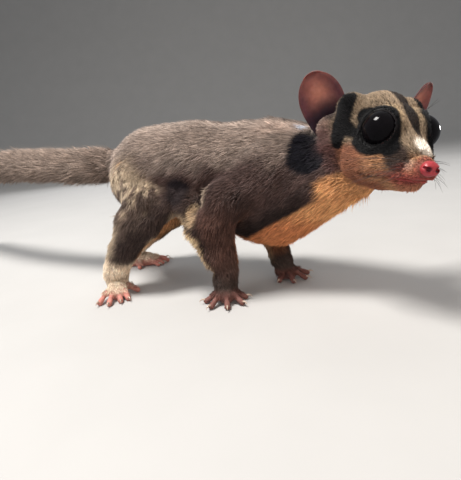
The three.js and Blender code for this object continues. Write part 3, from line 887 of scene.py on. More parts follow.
@dataclass
class Net:
    """Surface nets on a grid of planes, worked out only near the surface."""

    axes: list[Array]
    distance: Callable[[Array], Array]
    block: int = 8  # how many crossings a block has along each edge
    steepness: float = 1.5  # how much faster than a true distance the given one may rise
    slack: float = 1.5  # how much nearer than it says the surface may be

    def sample(self) -> Array:
        """The distance at each crossing of planes; far from the surface only the block's sign is right.

        Returns:
            A three-dimensional array.
        """
        n = [len(a) for a in self.axes]
        value = np.full(n, FAR)
        starts = [range(0, m, self.block) for m in n]
        blocks = [(i, j, k) for i in starts[0] for j in starts[1] for k in starts[2]]
        span = np.array([[self.span(d, s) for d, s in enumerate(block)] for block in blocks])
        reach = np.linalg.norm(span[:, :, 1] - span[:, :, 0], axis=1) / 2
        d = self.distance(span.mean(axis=2))
        close = np.abs(d) < self.steepness * reach + self.slack
        for block, near, middle in zip(blocks, close, d):
            cut = tuple(slice(s, s + self.block) for s in block)
            if not near:
                value[cut] = middle
                continue
            lines = [self.axes[i][s] for i, s in enumerate(cut)]
            p = np.stack(np.meshgrid(*lines, indexing="ij"), axis=-1)
            value[cut] = self.distance(p.reshape(-1, 3)).reshape(p.shape[:3])
        return value

    def span(self, axis: int, start: int) -> tuple[float, float]:
        """The first and the last plane of the block that starts at an index."""
        planes = self.axes[axis]
        return planes[start], planes[min(start + self.block, len(planes) - 1)]

    def mesh(self) -> tuple[Array, Array]:
        """The surface.

        Returns:
            Vertices, and quads as rows of four indices.
        """
        value = self.sample()
        n = np.array(value.shape)
        total = np.zeros((*(n - 1), 3))
        count = np.zeros(n - 1)
        crossings = []
        for axis in range(3):
            cells, p, rising = self.crossings(value, axis)
            for cell in self.around(cells, axis, ((0, 0), (0, 1), (1, 0), (1, 1))):
                ok = np.all((cell >= 0) & (cell < n - 1), axis=1)
                np.add.at(total, tuple(cell[ok].T), p[ok])
                np.add.at(count, tuple(cell[ok].T), 1)
            crossings.append((axis, cells, rising))
        used = count > 0
        index = np.full(count.shape, -1)
        index[used] = np.arange(used.sum())
        vertices = total[used] / count[used][:, None]
        quads = []
        for axis, cells, rising in crossings:
            u, v = (axis + 1) % 3, (axis + 2) % 3
            rim = (cells[:, u] > 0) & (cells[:, v] > 0) & (cells[:, u] < n[u] - 1) & (cells[:, v] < n[v] - 1)
            ring = self.around(cells[rim], axis, ((0, 0), (1, 0), (1, 1), (0, 1)))
            quad = np.stack([index[tuple(cell.T)] for cell in ring], axis=1)
            falling = ~rising[rim]
            quad[falling] = quad[falling][:, ::-1]
            quads.append(quad)
        return vertices, np.concatenate(quads)

    def crossings(self, value: Array, axis: int) -> tuple[Array, Array, Array]:
        """Where the surface cuts the grid's edges along one axis.

        Args:
            value: The distance at each crossing of planes.
            axis: 0, 1 or 2.

        Returns:
            The cell of each cut edge, the point of the cut, and whether the distance rises there.
        """
        inside = value < 0
        lower, upper = self.ends(axis)
        cells = np.argwhere(inside[lower] != inside[upper])
        ahead = cells + np.eye(3, dtype=int)[axis]
        a, b = value[tuple(cells.T)], value[tuple(ahead.T)]
        p = np.stack([self.axes[d][cells[:, d]] for d in range(3)], axis=1)
        step = self.axes[axis][ahead[:, axis]] - self.axes[axis][cells[:, axis]]
        p[:, axis] += step * a / (a - b)
        return cells, p, a < 0

    @staticmethod
    def around(cells: Array, axis: int, steps: Sequence[tuple[int, int]]) -> list[Array]:
        """The cells that touch edges along an axis, each set some steps back along the other two axes."""
        others = np.eye(3, dtype=int)[[(axis + 1) % 3, (axis + 2) % 3]]
        return [cells - np.array(step) @ others for step in steps]

    @staticmethod
    def ends(axis: int) -> tuple[tuple, tuple]:
        """The two slices that pair each crossing of planes with the next one along an axis."""
        spans = (slice(0, -1), slice(1, None))
        return tuple(tuple(span if d == axis else slice(None) for d in range(3)) for span in spans)


def mesh_of_rows(rows: int, columns: int, closed: bool = False) -> Array:
    """The quads of a sheet of points that are laid out in rows.

    Args:
        rows: How many rows.
        columns: How many points to a row.
        closed: Whether each row runs round to its start.

    Returns:
        Rows of four indices: a point, the next in its row, and the two of the next row.
    """
    r, c = np.meshgrid(np.arange(rows - 1), np.arange(columns if closed else columns - 1), indexing="ij")
    d = (c + 1) % columns
    corners = [r * columns + c, r * columns + d, (r + 1) * columns + d, (r + 1) * columns + c]
    return np.stack(corners, axis=-1).reshape(-1, 4)


@dataclass
class Surface:
    """A triangulated skin with areas and its own unwrap."""

    vertices: Array
    quads: Array
    parts: Array  # the main part at each vertex
    margin: float = 1.5  # the room round each chart of the unwrap
    slack: float = 1.12  # how much wider than a square of its area the unwrap is

    def __post_init__(self) -> None:
        """Splits the quads and makes the unwrap."""
        q = self.quads
        self.triangles = np.concatenate([q[:, [0, 1, 2]], q[:, [0, 2, 3]]])
        a, b, c = (self.vertices[self.triangles[:, i]] for i in range(3))
        self.areas = np.linalg.norm(np.cross(b - a, c - a), axis=1) / 2
        self.chart = self.charts()
        self.unwrap()

    def charts(self) -> Array:
        """A whole number for each quad, by its part and the side of the box that it faces.

        Returns:
            The numbers.
        """
        a, b, c, d = (self.vertices[self.quads[:, i]] for i in range(4))
        normal = np.cross(c - a, d - b)
        side = np.argmax(np.abs(normal), axis=1)
        positive = normal[np.arange(len(normal)), side] > 0
        return (self.parts[self.quads[:, 0]] * 3 + side) * 2 + positive

    def unwrap(self) -> None:
        """Lays the charts side by side in a square, all to one scale."""
        ids = np.unique(self.chart)
        self.low, self.size = {}, {}
        for chart in ids:
            flat = self.flat(self.vertices[self.quads[self.chart == chart].ravel()], chart)
            self.low[chart] = flat.min(0)
            self.size[chart] = flat.max(0) - flat.min(0) + self.margin
        area = sum(np.prod(s) for s in self.size.values())
        width = max(math.sqrt(area) * self.slack, max(s[0] for s in self.size.values()))
        self.place, x, y, row = {}, 0.0, 0.0, 0.0
        for chart in sorted(ids, key=lambda c: -self.size[c][1]):
            if x + self.size[chart][0] > width:
                x, y, row = 0.0, y + row, 0.0
            self.place[chart] = np.array([x, y])
            x += self.size[chart][0]
            row = max(row, self.size[chart][1])
        self.scale = 1 / max(width, y + row)

    def flat(self, p: Array, chart: int) -> Array:
        """Points as seen square on to a chart, as two coordinates in millimetres."""
        side = (chart // 2) % 3
        return p[:, [d for d in range(3) if d != side]]

    def uv(self, p: Array, charts: Array) -> Array:
        """The places of points on the unwrap.

        Args:
            p: Points in rows.
            charts: The chart of each.

        Returns:
            Two coordinates from 0 to 1 for each point.
        """
        out = np.zeros((len(p), 2))
        for chart in np.unique(charts):
            mine = charts == chart
            flat = self.flat(p[mine], chart) - self.low[chart] + self.place[chart] + self.margin / 2
            out[mine] = flat * self.scale
        return out

    def scatter(self, density: Array, rng: np.random.Generator) -> tuple[Array, Array]:
        """Spreads points evenly over the skin.

        Args:
            density: Points to a square millimetre, for each vertex.
            rng: The source of chance.

        Returns:
            The points, and the quad that each lies on.
        """
        weight = self.areas * density[self.triangles].mean(axis=1)
        edges = np.cumsum(weight)
        count = int(edges[-1])
        pick = np.searchsorted(edges, np.arange(count) + rng.random(count) * 0.999)
        pick = np.minimum(pick, len(edges) - 1)
        r1, r2 = np.sqrt(rng.random(count)), rng.random(count)
        a, b, c = (self.vertices[self.triangles[pick, i]] for i in range(3))
        p = a * (1 - r1)[:, None] + b * (r1 * (1 - r2))[:, None] + c * (r1 * r2)[:, None]
        return p, pick % len(self.quads)


# The markings


@dataclass(frozen=True)
class Site:
    """Points on the skin that are coloured together."""

    p: Array
    n: Array
    wave: Array  # a noise that makes the markings' edges uneven
    side: Side = Side.LEFT  # the side of the body, for a limb, a fold or a paw

    @property
    def outer(self) -> Array:
        """How much the skin faces away from the body's middle plane."""
        return self.n[:, 1] * self.side

    def plain(self, colour: Array) -> Array:
        """The same colour at every point."""
        return np.tile(colour, (len(self.p), 1))


@dataclass(frozen=True)
class Spot:
    """An egg-shaped patch on the head with a soft edge."""

    colour: Array
    amount: float
    middle: Point
    half: Point
    outer: float  # where it ends, as a part of the half lengths
    inner: float  # where it is full
    paired: bool = True  # whether it lies on both sides of the head

    def cover(self, q: Array) -> Array:
        """How much the spot covers at points in the head's frame, from 0 to 1."""
        away = ((left_half(q) if self.paired else q) - np.array(self.middle)) / np.array(self.half)
        return self.amount * smooth(self.outer, self.inner, np.linalg.norm(away, axis=1))


@dataclass
class Markings:
    """The colours of skin and coat, from the place on the body alone.

    The colours are named by the place that they lie on or by the way they look. Each method that ends in
    colours gives a linear colour for each point of a site.
    """

    anatomy: Anatomy
    back: Array = tone(148, 133, 123)
    nape: Array = tone(188, 167, 154)
    flank: Array = tone(74, 57, 53)
    stripe: Array = tone(32, 23, 21)
    head_stripe: Array = tone(34, 25, 20)
    # cream belly and chest, tinted orange: partly the coat's own cream, partly painted orange bounce light;
    # the darker chest colour is also painted shade
    belly: Array = tone(210, 152, 102)
    chest: Array = tone(184, 118, 76)
    crown: Array = tone(128, 110, 90)
    brow: Array = tone(156, 134, 106)
    # the cream of the cheeks, darkened and tinted orange: partly its own colour, partly painted shade and
    # painted orange bounce light
    cheek: Array = tone(168, 124, 90)
    # painted shade with an orange cast of bounced light, for the back of the cheek and under the jaw
    warm: Array = tone(118, 66, 50)
    black: Array = tone(8, 7, 9)
    navy: Array = tone(17, 16, 24)
    dusk: Array = tone(58, 46, 42)
    bridge: Array = tone(228, 216, 202)
    rose: Array = tone(150, 70, 64)
    toe: Array = tone(186, 122, 110)
    limb: Array = tone(100, 84, 75)
    # the arms' dark brown: partly their own colour, partly painted shade of the lower body
    arm: Array = tone(80, 55, 47)
    patch: Array = tone(182, 164, 141)
    shank: Array = tone(42, 33, 31)
    fringe: Array = tone(208, 180, 144)
    tail: Array = tone(134, 118, 107)
    tail_end: Array = tone(62, 55, 52)
    white: Array = tone(226, 204, 180)
    frost: Array = tone(206, 216, 232)
    column: Array = tone(90, 61, 58)
    dusky: Array = tone(108, 68, 60)
    stripe_shift: float = 1.5  # how far the stripe on the head lies to its left

    def colour(self, p: Array, n: Array, shares: Array) -> Array:
        """The coat's colour.

        Args:
            p: Points on the skin.
            n: The skin's normals.
            shares: The parts' shares.

        Returns:
            Linear colours in rows.
        """
        painters = {
            Region.TRUNK: self.trunk_colours,
            Region.TAIL: self.tail_colours,
            Region.HEAD: self.head_colours,
            Region.FOLD: self.fold_colours,
            Region.ARM: self.arm_colours,
            Region.LEG: self.leg_colours,
            Region.HAND: self.hand_colours,
            Region.FOOT: self.foot_colours,
        }
        wave = noise(p, 5, 3)
        total = np.zeros((len(p), 3))
        for part, share in zip(self.anatomy.parts, shares.T):
            side = Side.RIGHT if part.name.endswith(Side.RIGHT.label) else Side.LEFT
            total += painters[part.region](Site(p, n, wave, side)) * share[:, None]
        return total

    def trunk_colours(self, site: Site) -> Array:
        """Grey back with a dark line, browner flanks, a cream belly and a dark band by the shoulder, partly
        painted shade.

        Args:
            site: The points.

        Returns:
            Their colours.
        """
        p, n, wave = site.p, site.n, site.wave
        x, y, z = p.T
        wide = np.abs(y)
        side = smooth(6, 9, wide)
        front = smooth(6, 14, x)
        flank_top = np.interp(x, [-40, -10, 10, 25, 40], [51, 54, 52, 50, 52])
        flank = smooth(5, -6, z - flank_top + 3 * wave)
        edge = z - np.interp(x, [10, 22, 30, 40, 48], [20, 25, 29.3, 34.6, 38.6])
        # a dark band along the edge of the cream chest: partly dark fur, partly painted shade at the shoulder
        shade = 0.9 * smooth(9, 1, edge + wave) * front * smooth(46, 38, x)
        hip = np.linalg.norm((p - [-8.2, 0, 42.9]) / [5.5, 100, 5.0], axis=1)
        hip_spot = 0.85 * smooth(1.2, 0.6, hip + 0.15 * wave) * side
        # the lower chest keeps the darker chest colour: painted shade under the chest
        belly = layered(site.plain(self.chest), [(self.belly, smooth(28, 38, z + 0.3 * (x - 30)))])
        # the pale belly colour is kept out of the armpit, which stays dark as painted shade
        armpit = smooth(12, 16, x) * smooth(9, 13, wide)
        below = smooth(0.66, 0.8, -n[:, 2] + 0.06 * wave) * smooth(36, 31, z) * (1 - armpit)
        pale = np.maximum(below, smooth(1.0, -0.8, edge + 0.4 * wave) * front)
        nape = 0.85 * smooth(18, 30, x) * smooth(57, 61, z + wave) * smooth(2.0, 4.0, wide)
        off_line = np.abs(y - 0.4 * noise(p, 9, 5)) / (1.5 + 0.02 * (x + 40))
        line = 0.7 * smooth(1.25, 0.55, off_line) * smooth(0.4, 0.8, n[:, 2])
        throat = smooth(44, 48, x) * smooth(45.5, 43, z - 0.35 * (x - 50))
        tan = np.hypot((x - 51.5) / 4.5, (z - 53) / 8)
        neck_spot = np.hypot((x - 42.6) / 6.6, (z - 51.6) / 7.0) + 0.1 * wave
        layers = (
            (self.flank, flank),
            (self.stripe, shade),
            (self.navy, hip_spot),
            (belly, pale),
            (self.nape, nape),
            (self.stripe, line),
            (self.belly, throat * side),
            (self.column, 0.8 * smooth(1.15, 0.7, tan) * side),
            (self.navy, smooth(1.12, 0.86, neck_spot) * side),
            (self.frost, self.ear_tuft(p)),
        )
        return layered(site.plain(self.back), layers)

    def ear_tuft(self, p: Array) -> Array:
        """The pale tuft behind each ear, from 0 to 1 for each point."""
        away = np.linalg.norm((p - [39.8, 0, 61.2]) / [3.2, 100, 2.6], axis=1)
        return smooth(1.1, 0.7, away) * smooth(3.8, 5.4, np.abs(p[:, 1]))

    def tail_colours(self, site: Site) -> Array:
        """Grey-brown, darker to the tip and darker below, with painted shade at its root by the rump.

        Args:
            site: The points.

        Returns:
            Their colours.
        """
        x = site.p[:, 0]
        far = smooth(-100, -205, x + 4 * site.wave)
        below = 0.4 * smooth(0.2, 0.8, -site.n[:, 2]) * (1 - far)
        # painted shade on the tail's root, where the rump shades it
        root = 0.5 * smooth(-72, -58, x + 2 * site.wave)
        layers = ((self.tail_end, far), (self.limb, below), (self.limb, root))
        return layered(site.plain(self.tail), layers)

    def fold_colours(self, site: Site) -> Array:
        """A brown membrane with a dark hollow at its top and a pale edge below.

        Args:
            site: The points.

        Returns:
            Their colours.
        """
        wave = site.wave
        x, _, z = site.p.T
        hollow = 0.7 * smooth(6.5, 3.5, np.hypot(x + 8, z - 41) + wave)
        knob = np.hypot((x - 0.4) / 3.4, (z - 33.0) / 4.6) + 0.12 * wave
        knob = 0.6 * smooth(1.2, 0.5, knob) * smooth(0.2, 0.7, site.outer)
        facing = -site.n[:, 2] - 0.6 * site.n[:, 0] + 0.2 * wave
        layers = (
            (self.flank, 0.8),
            (self.shank, 0.6 * smooth(42, 33, z + 2 * wave)),
            (self.navy, hollow),
            (self.fringe, knob),
            (self.fringe, smooth(0.35, 0.75, facing) * smooth(36, 28, z)),
        )
        return layered(site.plain(self.limb), layers)

    def hand_colours(self, site: Site) -> Array:
        """Dark, with dusky fingers."""
        fingers = 0.7 * smooth(6, 3, site.p[:, 2])
        return layered(site.plain(self.limb), ((self.shank, 0.7), (self.dusky, fingers)))

    def foot_colours(self, site: Site) -> Array:
        """White, with pink toes."""
        toes = 0.8 * smooth(4.0, 2.4, site.p[:, 2])
        return layered(site.plain(self.white), ((self.toe, toes),))

    def arm_colours(self, site: Site) -> Array:
        """Brown, dark in front, with a pale fringe behind and a warm inner side.

        Args:
            site: The points.

        Returns:
            Their colours.
        """
        n, wave, outer = site.n, site.wave, site.outer
        z = site.p[:, 2]
        front = smooth(0.2, 0.8, n[:, 0]) * smooth(26, 38, z)
        back = smooth(0.35, 0.75, -n[:, 0] - 0.3 * n[:, 1] * site.side + 0.2 * wave)
        elbow = 0.5 * smooth(0.4, 0.7, -n[:, 0] + 0.2 * wave) * smooth(33, 38, z)
        inner = 0.6 * smooth(0.0, -0.6, outer) * smooth(27, 22, z) * smooth(9, 13, z)
        layers = (
            (self.flank, smooth(30, 42, z)),
            (self.stripe, 0.7 * front),
            (self.fringe, 0.9 * back * smooth(31, 25, z)),
            (self.patch, elbow),
            # the chest's colour, with its painted shade and orange bounce light, on the arm's inner side
            (self.chest, inner),
        )
        return layered(site.plain(self.arm), layers)

    def leg_colours(self, site: Site) -> Array:
        """A pale streaky thigh, a dark front, a pale fringe behind and a white ankle.

        Args:
            site: The points.

        Returns:
            Their colours.
        """
        p, n, wave, outer = site.p, site.n, site.wave, site.outer
        z = p[:, 2]
        streak = 1.2 * noise(p * [1.0, 1.0, 0.4], 1.7, 8) + 0.4 * wave
        thigh = 0.95 * smooth(-0.6, 0.4, streak + 1.2 * smooth(37, 48, z) - 0.65) * smooth(30, 38, z)
        lower = smooth(0.45, -0.3, streak) * smooth(43, 34, z)
        front = smooth(-0.6, 0.1, n[:, 0] + 0.2 * wave) * smooth(32, 23, z + 2.5 * streak)
        behind = 0.75 * smooth(-0.1, -0.6, n[:, 0] + 0.2 * wave) * smooth(34, 27, z)
        layers = (
            (self.patch, thigh),
            (self.shank, np.maximum(0.5 * lower, 0.92 * front)),
            (self.patch, behind * smooth(0.2, 0.6, outer + 0.3)),
            (self.white, smooth(17, 12, z + wave)),
            (self.belly, 0.75 * smooth(0.0, -0.6, outer)),
        )
        return layered(site.plain(self.limb), layers)

    def head_colours(self, site: Site) -> Array:
        """Tan crown with a dark stripe, black eye rings and ear bands, cream cheeks with painted shade and
        orange bounce light, and a white bridge.

        Args:
            site: The points.

        Returns:
            Their colours.
        """
        wave = site.wave
        q = self.anatomy.head.inside(site.p)
        m = left_half(q)
        x, y, z = q.T
        brow, *spots = self.spots()
        cheek = smooth(0.8, -2.2, z + 0.1 * x + 0.5 * wave) * smooth(-8, -3, x)
        lips = 0.75 * smooth(2.2, 0.8, self.anatomy.head.groove(m)) * smooth(8, 14, x)
        half = np.interp(x, [-4, 4, 9.3, 12.7, 14.8], [1.5, 1.8, 1.4, 0.9, 0.6])
        line = np.abs(y - self.stripe_shift) / half
        stripe = smooth(1.25, 0.8, line + 0.15 * wave) * smooth(15.6, 14.2, x) * (z > 0)
        layers = (
            (brow.colour, brow.cover(q)),
            (self.back, smooth(-5, -13, x + wave)),
            (self.cheek, cheek),
            # painted shade with orange bounce light on the back of the cheek and under the jaw
            (self.warm, 0.72 * smooth(12.0, 6.0, x + 0.6 * wave) * smooth(1.5, -1.5, z)),
            (self.warm, 0.6 * smooth(-7.0, -10.5, z + 0.6 * wave) * smooth(8, 2, x)),
            *((spot.colour, spot.cover(q)) for spot in spots),
            (self.rose, lips),
            (self.head_stripe, stripe),
            (self.black, self.mask(m, wave)),
        )
        return layered(site.plain(self.crown), layers)

    def spots(self) -> tuple[Spot, ...]:
        """The soft patches of the face, in the order in which they are laid on; the first is the brow."""
        return (
            Spot(self.brow, 0.9, (9.5, 3.4, 10.5), (5.5, 2.6, 4.5), 1.2, 0.5),
            Spot(self.column, 0.9, (-9.0, 14.5, 0.0), (4.4, 4.6, 8.5), 1.25, 0.75),
            Spot(self.dusk, 0.95, (16.4, 5.6, -3.3), (4.0, 2.9, 3.9), 1.35, 0.7),
            Spot(self.rose, 0.5, (18.6, 3.2, -7.6), (5.0, 4.0, 3.2), 1.3, 0.6),
            Spot(self.rose, 0.4, (17.0, 1.5, -10.8), (4.5, 4.5, 2.2), 1.3, 0.5),
            # a dark patch behind the band at the ear's base: partly dark fur, partly painted shade where the
            # ear meets the head
            Spot(self.navy, 0.7, (-8.6, 13.6, 8.2), (3.4, 3.0, 4.0), 1.3, 0.6),
            Spot(self.bridge, 1.0, (17.6, 1.5, 0.0), (3.0, 2.8, 3.5), 1.2, 0.7, paired=False),
            Spot(self.bridge, 0.16, (20.0, 3.7, -4.9), (1.8, 1.6, 1.7), 1.3, 0.6),
            Spot(self.rose, 0.65, self.anatomy.head.nose, (3.4, 3.6, 3.4), 1.3, 0.85),
        )

    def mask(self, m: Array, wave: Array) -> Array:
        """The black ring round the eye and the black band from it to the ear.

        Args:
            m: Points in the head's frame, on its left half.
            wave: Noise at each.

        Returns:
            From 0 to 1 for each point.
        """
        ring = np.linalg.norm((m - [8.5, 8.2, 3.9]) / [1.0, 1.0, 1.02], axis=1) - 7.3
        ring = np.minimum(ring, np.linalg.norm(m - [13.4, 6.4, 0.2], axis=1) - 3.4)
        ring = np.minimum(ring, np.linalg.norm(m - [3.0, 9.0, 8.6], axis=1) - 2.9)
        band = np.minimum(
            cone(m, (-3.4, 14.0, 0.2), (-2.5, 14.1, 5.0), 2.0, 2.9),
            cone(m, (-2.5, 14.1, 5.0), (-2.7, 13.0, 14.0), 2.9, 3.0),
        )
        band = np.minimum(band, cone(m, (-2.2, 13.8, 5.4), (2.8, 12.6, 3.6), 2.6, 2.4))
        black = smooth(0.55, -0.35, np.minimum(ring, band) + 0.25 * wave)
        inner = m[:, 1] + 0.2 * wave - np.interp(m[:, 0], [8, 13], [0.0, 1.0])
        return black * smooth(2.3, 3.5, inner)


# Making meshes


def make_mesh(
    name: str,
    vertices: Array,
    faces: Array,
    colours: Array | None = None,
    uv: Array | None = None,
    smooth_shading: bool = True,
) -> bpy.types.Object:
    """Makes an object.

    Args:
        name: Its name.
        vertices: Points in millimetres in the body's frame.
        faces: Rows of three or four indices.
        colours: A linear colour for each vertex.
        uv: Places on the unwrap, one for each corner of each face.
        smooth_shading: Whether its faces are shaded smooth.

    Returns:
        The object, linked to the scene.
    """
    data = bpy.data.meshes.new(name)
    data.vertices.add(len(vertices))
    data.vertices.foreach_set("co", ((vertices - ORIGIN) * MM).astype(np.float32).ravel())
    sides = faces.shape[1]
    data.loops.add(faces.size)
    data.loops.foreach_set("vertex_index", faces.ravel().astype(np.int32))
    data.polygons.add(len(faces))
    data.polygons.foreach_set("loop_start", np.arange(0, faces.size, sides, dtype=np.int32))
    data.polygons.foreach_set("use_smooth", np.full(len(faces), smooth_shading))
    if colours is not None:
        rgba = np.concatenate([colours, np.ones((len(colours), 1))], axis=1)
        layer = data.color_attributes.new("Col", "FLOAT_COLOR", "POINT")
        layer.data.foreach_set("color", rgba.astype(np.float32).ravel())
    if uv is not None:
        layer = data.uv_layers.new(name="OFBake")
        layer.data.foreach_set("uv", uv.astype(np.float32).ravel())
    data.update(calc_edges=True)
    made = bpy.data.objects.new(name, data)
    bpy.context.scene.collection.objects.link(made)
    return made


def dress(made: bpy.types.Object, finish: Finish, slot: Slot, nodes: Sequence[str] = ()) -> None:
    """Gives an object its material and its place in the frame.

    Args:
        made: The object.
        finish: Its finish.
        slot: Not used.
        nodes: The solids that it stands for.
    """
    made.data.materials.append(finish.material())
    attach(made, "root")
    if nodes:
        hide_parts(*nodes)
    log.info("%s: %d faces", made.name, len(made.data.polygons))


def tubes(paths: Array, radii: Array, sides: int) -> tuple[Array, Array]:
    """Closed round tubes along many paths at once.

    Args:
        paths: Points, as tubes by rings by three.
        radii: The radius at each ring of each tube.
        sides: How many sides.

    Returns:
        Vertices and quads; the ends are left open.
    """
    count, rings, _ = paths.shape
    along = unit(np.gradient(paths, axis=1))
    helper = np.where(np.abs(along[:, :1, 2:]) > 0.8, [1.0, 0, 0], [0, 0, 1.0])
    across = unit(np.cross(along, helper))
    over = np.cross(along, across)
    angle = np.linspace(0, 2 * np.pi, sides, endpoint=False)
    ring = across[:, :, None] * np.cos(angle)[:, None] + over[:, :, None] * np.sin(angle)[:, None]
    vertices = paths[:, :, None] + ring * radii[:, :, None, None]
    quads = mesh_of_rows(rings, sides, closed=True)[:, [0, 3, 2, 1]]
    starts = np.arange(count)[:, None, None] * rings * sides
    return vertices.reshape(-1, 3), (quads[None] + starts).reshape(-1, 4)


# Finishes


@dataclass(frozen=True)
class Finish:
    """A material made of nodes."""

    name: str
    roughness: float = 0.8  # from 0, mirror, to 1, matt
    coat: float = 0.0  # a clear wet coat's weight
    subsurface: float = 0.0  # how much light passes under the surface
    sheen: float = 0.0  # soft light at grazing angles
    grain: float = 1.0  # the size of its fine grain in millimetres
    contrast: float = 0.2  # how much the grain changes the colour
    bump: float = 0.05  # how deep the grain is, in millimetres
    specular: float = 0.5  # how strongly it mirrors, 0.5 for most stuff
    colour: tuple[float, float, float] | None = None  # its own colour where the mesh carries none
    coat_roughness: float = 0.04
    subsurface_scale: float = 0.0015  # how deep light passes, in metres
    sheen_roughness: float = 0.5

    def material(self) -> bpy.types.Material:
        """Makes the material, once.

        Returns:
            The material.
        """
        if self.name in bpy.data.materials:
            return bpy.data.materials[self.name]
        made = bpy.data.materials.new(self.name)
        made.use_nodes = True
        nodes, links = made.node_tree.nodes, made.node_tree.links
        shader = nodes["Principled BSDF"]
        sockets = {
            "Roughness": self.roughness,
            "Specular IOR Level": self.specular,
            "Coat Weight": self.coat,
            "Coat Roughness": self.coat_roughness,
            "Subsurface Weight": self.subsurface,
            "Subsurface Scale": self.subsurface_scale,
            "Sheen Weight": self.sheen,
            "Sheen Roughness": self.sheen_roughness,
        }
        self.fill(shader, sockets)
        where = nodes.new("ShaderNodeTexCoord")
        grain = nodes.new("ShaderNodeTexNoise")
        self.fill(grain, {"Scale": 1 / (self.grain * MM), "Detail": 4})
        links.new(where.outputs["Object"], grain.inputs["Vector"])
        ramp = nodes.new("ShaderNodeMapRange")
        bright = {"To Min": 1 - self.contrast, "To Max": 1 + self.contrast}
        self.fill(ramp, {"From Min": 0.3, "From Max": 0.7, **bright})
        links.new(grain.outputs["Fac"], ramp.inputs["Value"])
        tint = nodes.new("ShaderNodeVectorMath")
        tint.operation = "SCALE"
        links.new(self.base(nodes), tint.inputs[0])
        links.new(ramp.outputs["Result"], tint.inputs["Scale"])
        links.new(tint.outputs["Vector"], shader.inputs["Base Color"])
        bump = nodes.new("ShaderNodeBump")
        self.fill(bump, {"Strength": 1.0, "Distance": self.bump * MM})
        links.new(grain.outputs["Fac"], bump.inputs["Height"])
        links.new(bump.outputs["Normal"], shader.inputs["Normal"])
        return made

    def base(self, nodes: bpy.types.Nodes) -> bpy.types.NodeSocket:
        """Adds the node of the colour, the finish's own or the one that the mesh carries.

        Args:
            nodes: The material's nodes.

        Returns:
            The socket that the colour comes out of.
        """
        if self.colour is None:
            carried = nodes.new("ShaderNodeVertexColor")
            carried.layer_name = "Col"
            return carried.outputs["Color"]
        own = nodes.new("ShaderNodeRGB")
        own.outputs[0].default_value = (*self.colour, 1)
        return own.outputs[0]

    @staticmethod
    def fill(node: bpy.types.Node, values: dict[str, float]) -> None:
        """Sets a node's input sockets by their names."""
        for name, value in values.items():
            node.inputs[name].default_value = value


WET_BLACK = (0.003, 0.0024, 0.003)


@dataclass(frozen=True)
class Finishes:
    """All finishes of the model."""

    skin: Finish = Finish("skin", 0.75, subsurface=0.1, grain=0.7, contrast=0.18, bump=0.12)
    coat: Finish = Finish("coat", 0.7, sheen=0.04, grain=0.9, contrast=0.14, bump=0.02, specular=0.22)
    eye: Finish = Finish("wet_eye", 0.05, grain=2, contrast=0.25, bump=0, specular=0.13, colour=WET_BLACK)
    lid: Finish = Finish("lid", 0.75, grain=0.5, contrast=0.25, bump=0.06, specular=0.12)
    ear: Finish = Finish("bare_ear", 0.55, subsurface=0.2, grain=1.4, contrast=0.16, bump=0.08, specular=0.3)
    nose: Finish = Finish("nose_skin", 0.36, coat=0.15, subsurface=0.2, grain=0.35, contrast=0.16, bump=0.07)
    lip: Finish = Finish("lip", 0.5, coat=0.05, subsurface=0.2, grain=0.5, contrast=0.15, bump=0.05)
    claw: Finish = Finish("claw", 0.32, coat=0.2, grain=0.6, bump=0.01, colour=(0.42, 0.32, 0.25))
    whisker: Finish = Finish("whisker", 0.5, grain=2, contrast=0.15, bump=0, colour=(0.03, 0.025, 0.024))
    floor: Finish = Finish("floor", 0.9, grain=40, contrast=0.02, bump=0.02, colour=(0.43, 0.423, 0.413))


FINISHES = Finishes()


# The pieces


@dataclass(frozen=True)
class Skin:
    """The one skin that stands for all the flesh."""

    anatomy: Anatomy
    markings: Markings
    pull: float = 0.4  # how far a vertex may be moved onto the true surface
    least_slope: float = 0.2
    dark: float = 0.62  # how bright the skin is beside the coat over it: painted shade under the fur
    # between which x the bare skin turns from the hands' colour to the feet's
    hind: tuple[float, float] = (-20, -24)
    bare_share: tuple[float, float] = (0.4, 0.8)
    bare_height: tuple[float, float] = (6.5, 3.5)

    def build(self) -> Surface:
        """Makes the skin.

        Returns:
            The skin's surface.
        """
        v, quads = Net(Grid().axes(), self.anatomy.distance).mesh()
        slope = self.anatomy.gradient(v)
        off = np.clip(self.anatomy.distance(v), -self.pull, self.pull)
        v = v - slope * (off / np.maximum((slope * slope).sum(1), self.least_slope))[:, None]
        share = self.anatomy.shares(v)
        surface = Surface(v, quads, np.argmax(share, axis=1))
        uv = surface.uv(v[quads.ravel()], np.repeat(surface.chart, 4))
        made = make_mesh("skin", v, quads, self.colours(v, unit(slope), share), uv)
        dress(made, FINISHES.skin, Slot.BACK, self.flesh())
        return surface

    def colours(self, v: Array, n: Array, share: Array) -> Array:
        """The coat's colours, darker as painted shade under the fur, and bare skin on the paws.

        Args:
            v: The skin's points.
            n: Its normals.
            share: The parts' shares.

        Returns:
            A colour for each point.
        """
        furred = self.markings.colour(v, n, share) * self.dark
        paws = sum(share[:, i] for i, _ in self.anatomy.paws())
        hind = smooth(*self.hind, v[:, 0])[:, None]
        bare = self.markings.dusky + (self.markings.toe - self.markings.dusky) * hind
        bare = bare * (0.95 + 0.15 * noise(v, 1.5, 41))[:, None]
        low = smooth(*self.bare_share, paws) * smooth(*self.bare_height, v[:, 2])
        return furred + (bare - furred) * low[:, None]

    @staticmethod
    def flesh() -> list[str]:
        """The solids that the skin stands for.

        Returns:
            Their names.
        """
        limbs = ("upper_arm", "forearm", "hand", "thigh", "shank", "foot")
        paired = [f"{limb}_{side.label}" for side in Side for limb in limbs]
        folds = [f"membrane_{side.label}" for side in Side]
        return ["head", "neck", "torso", *paired, *folds, "tail_base", "tail_mid", "tail_tip"]


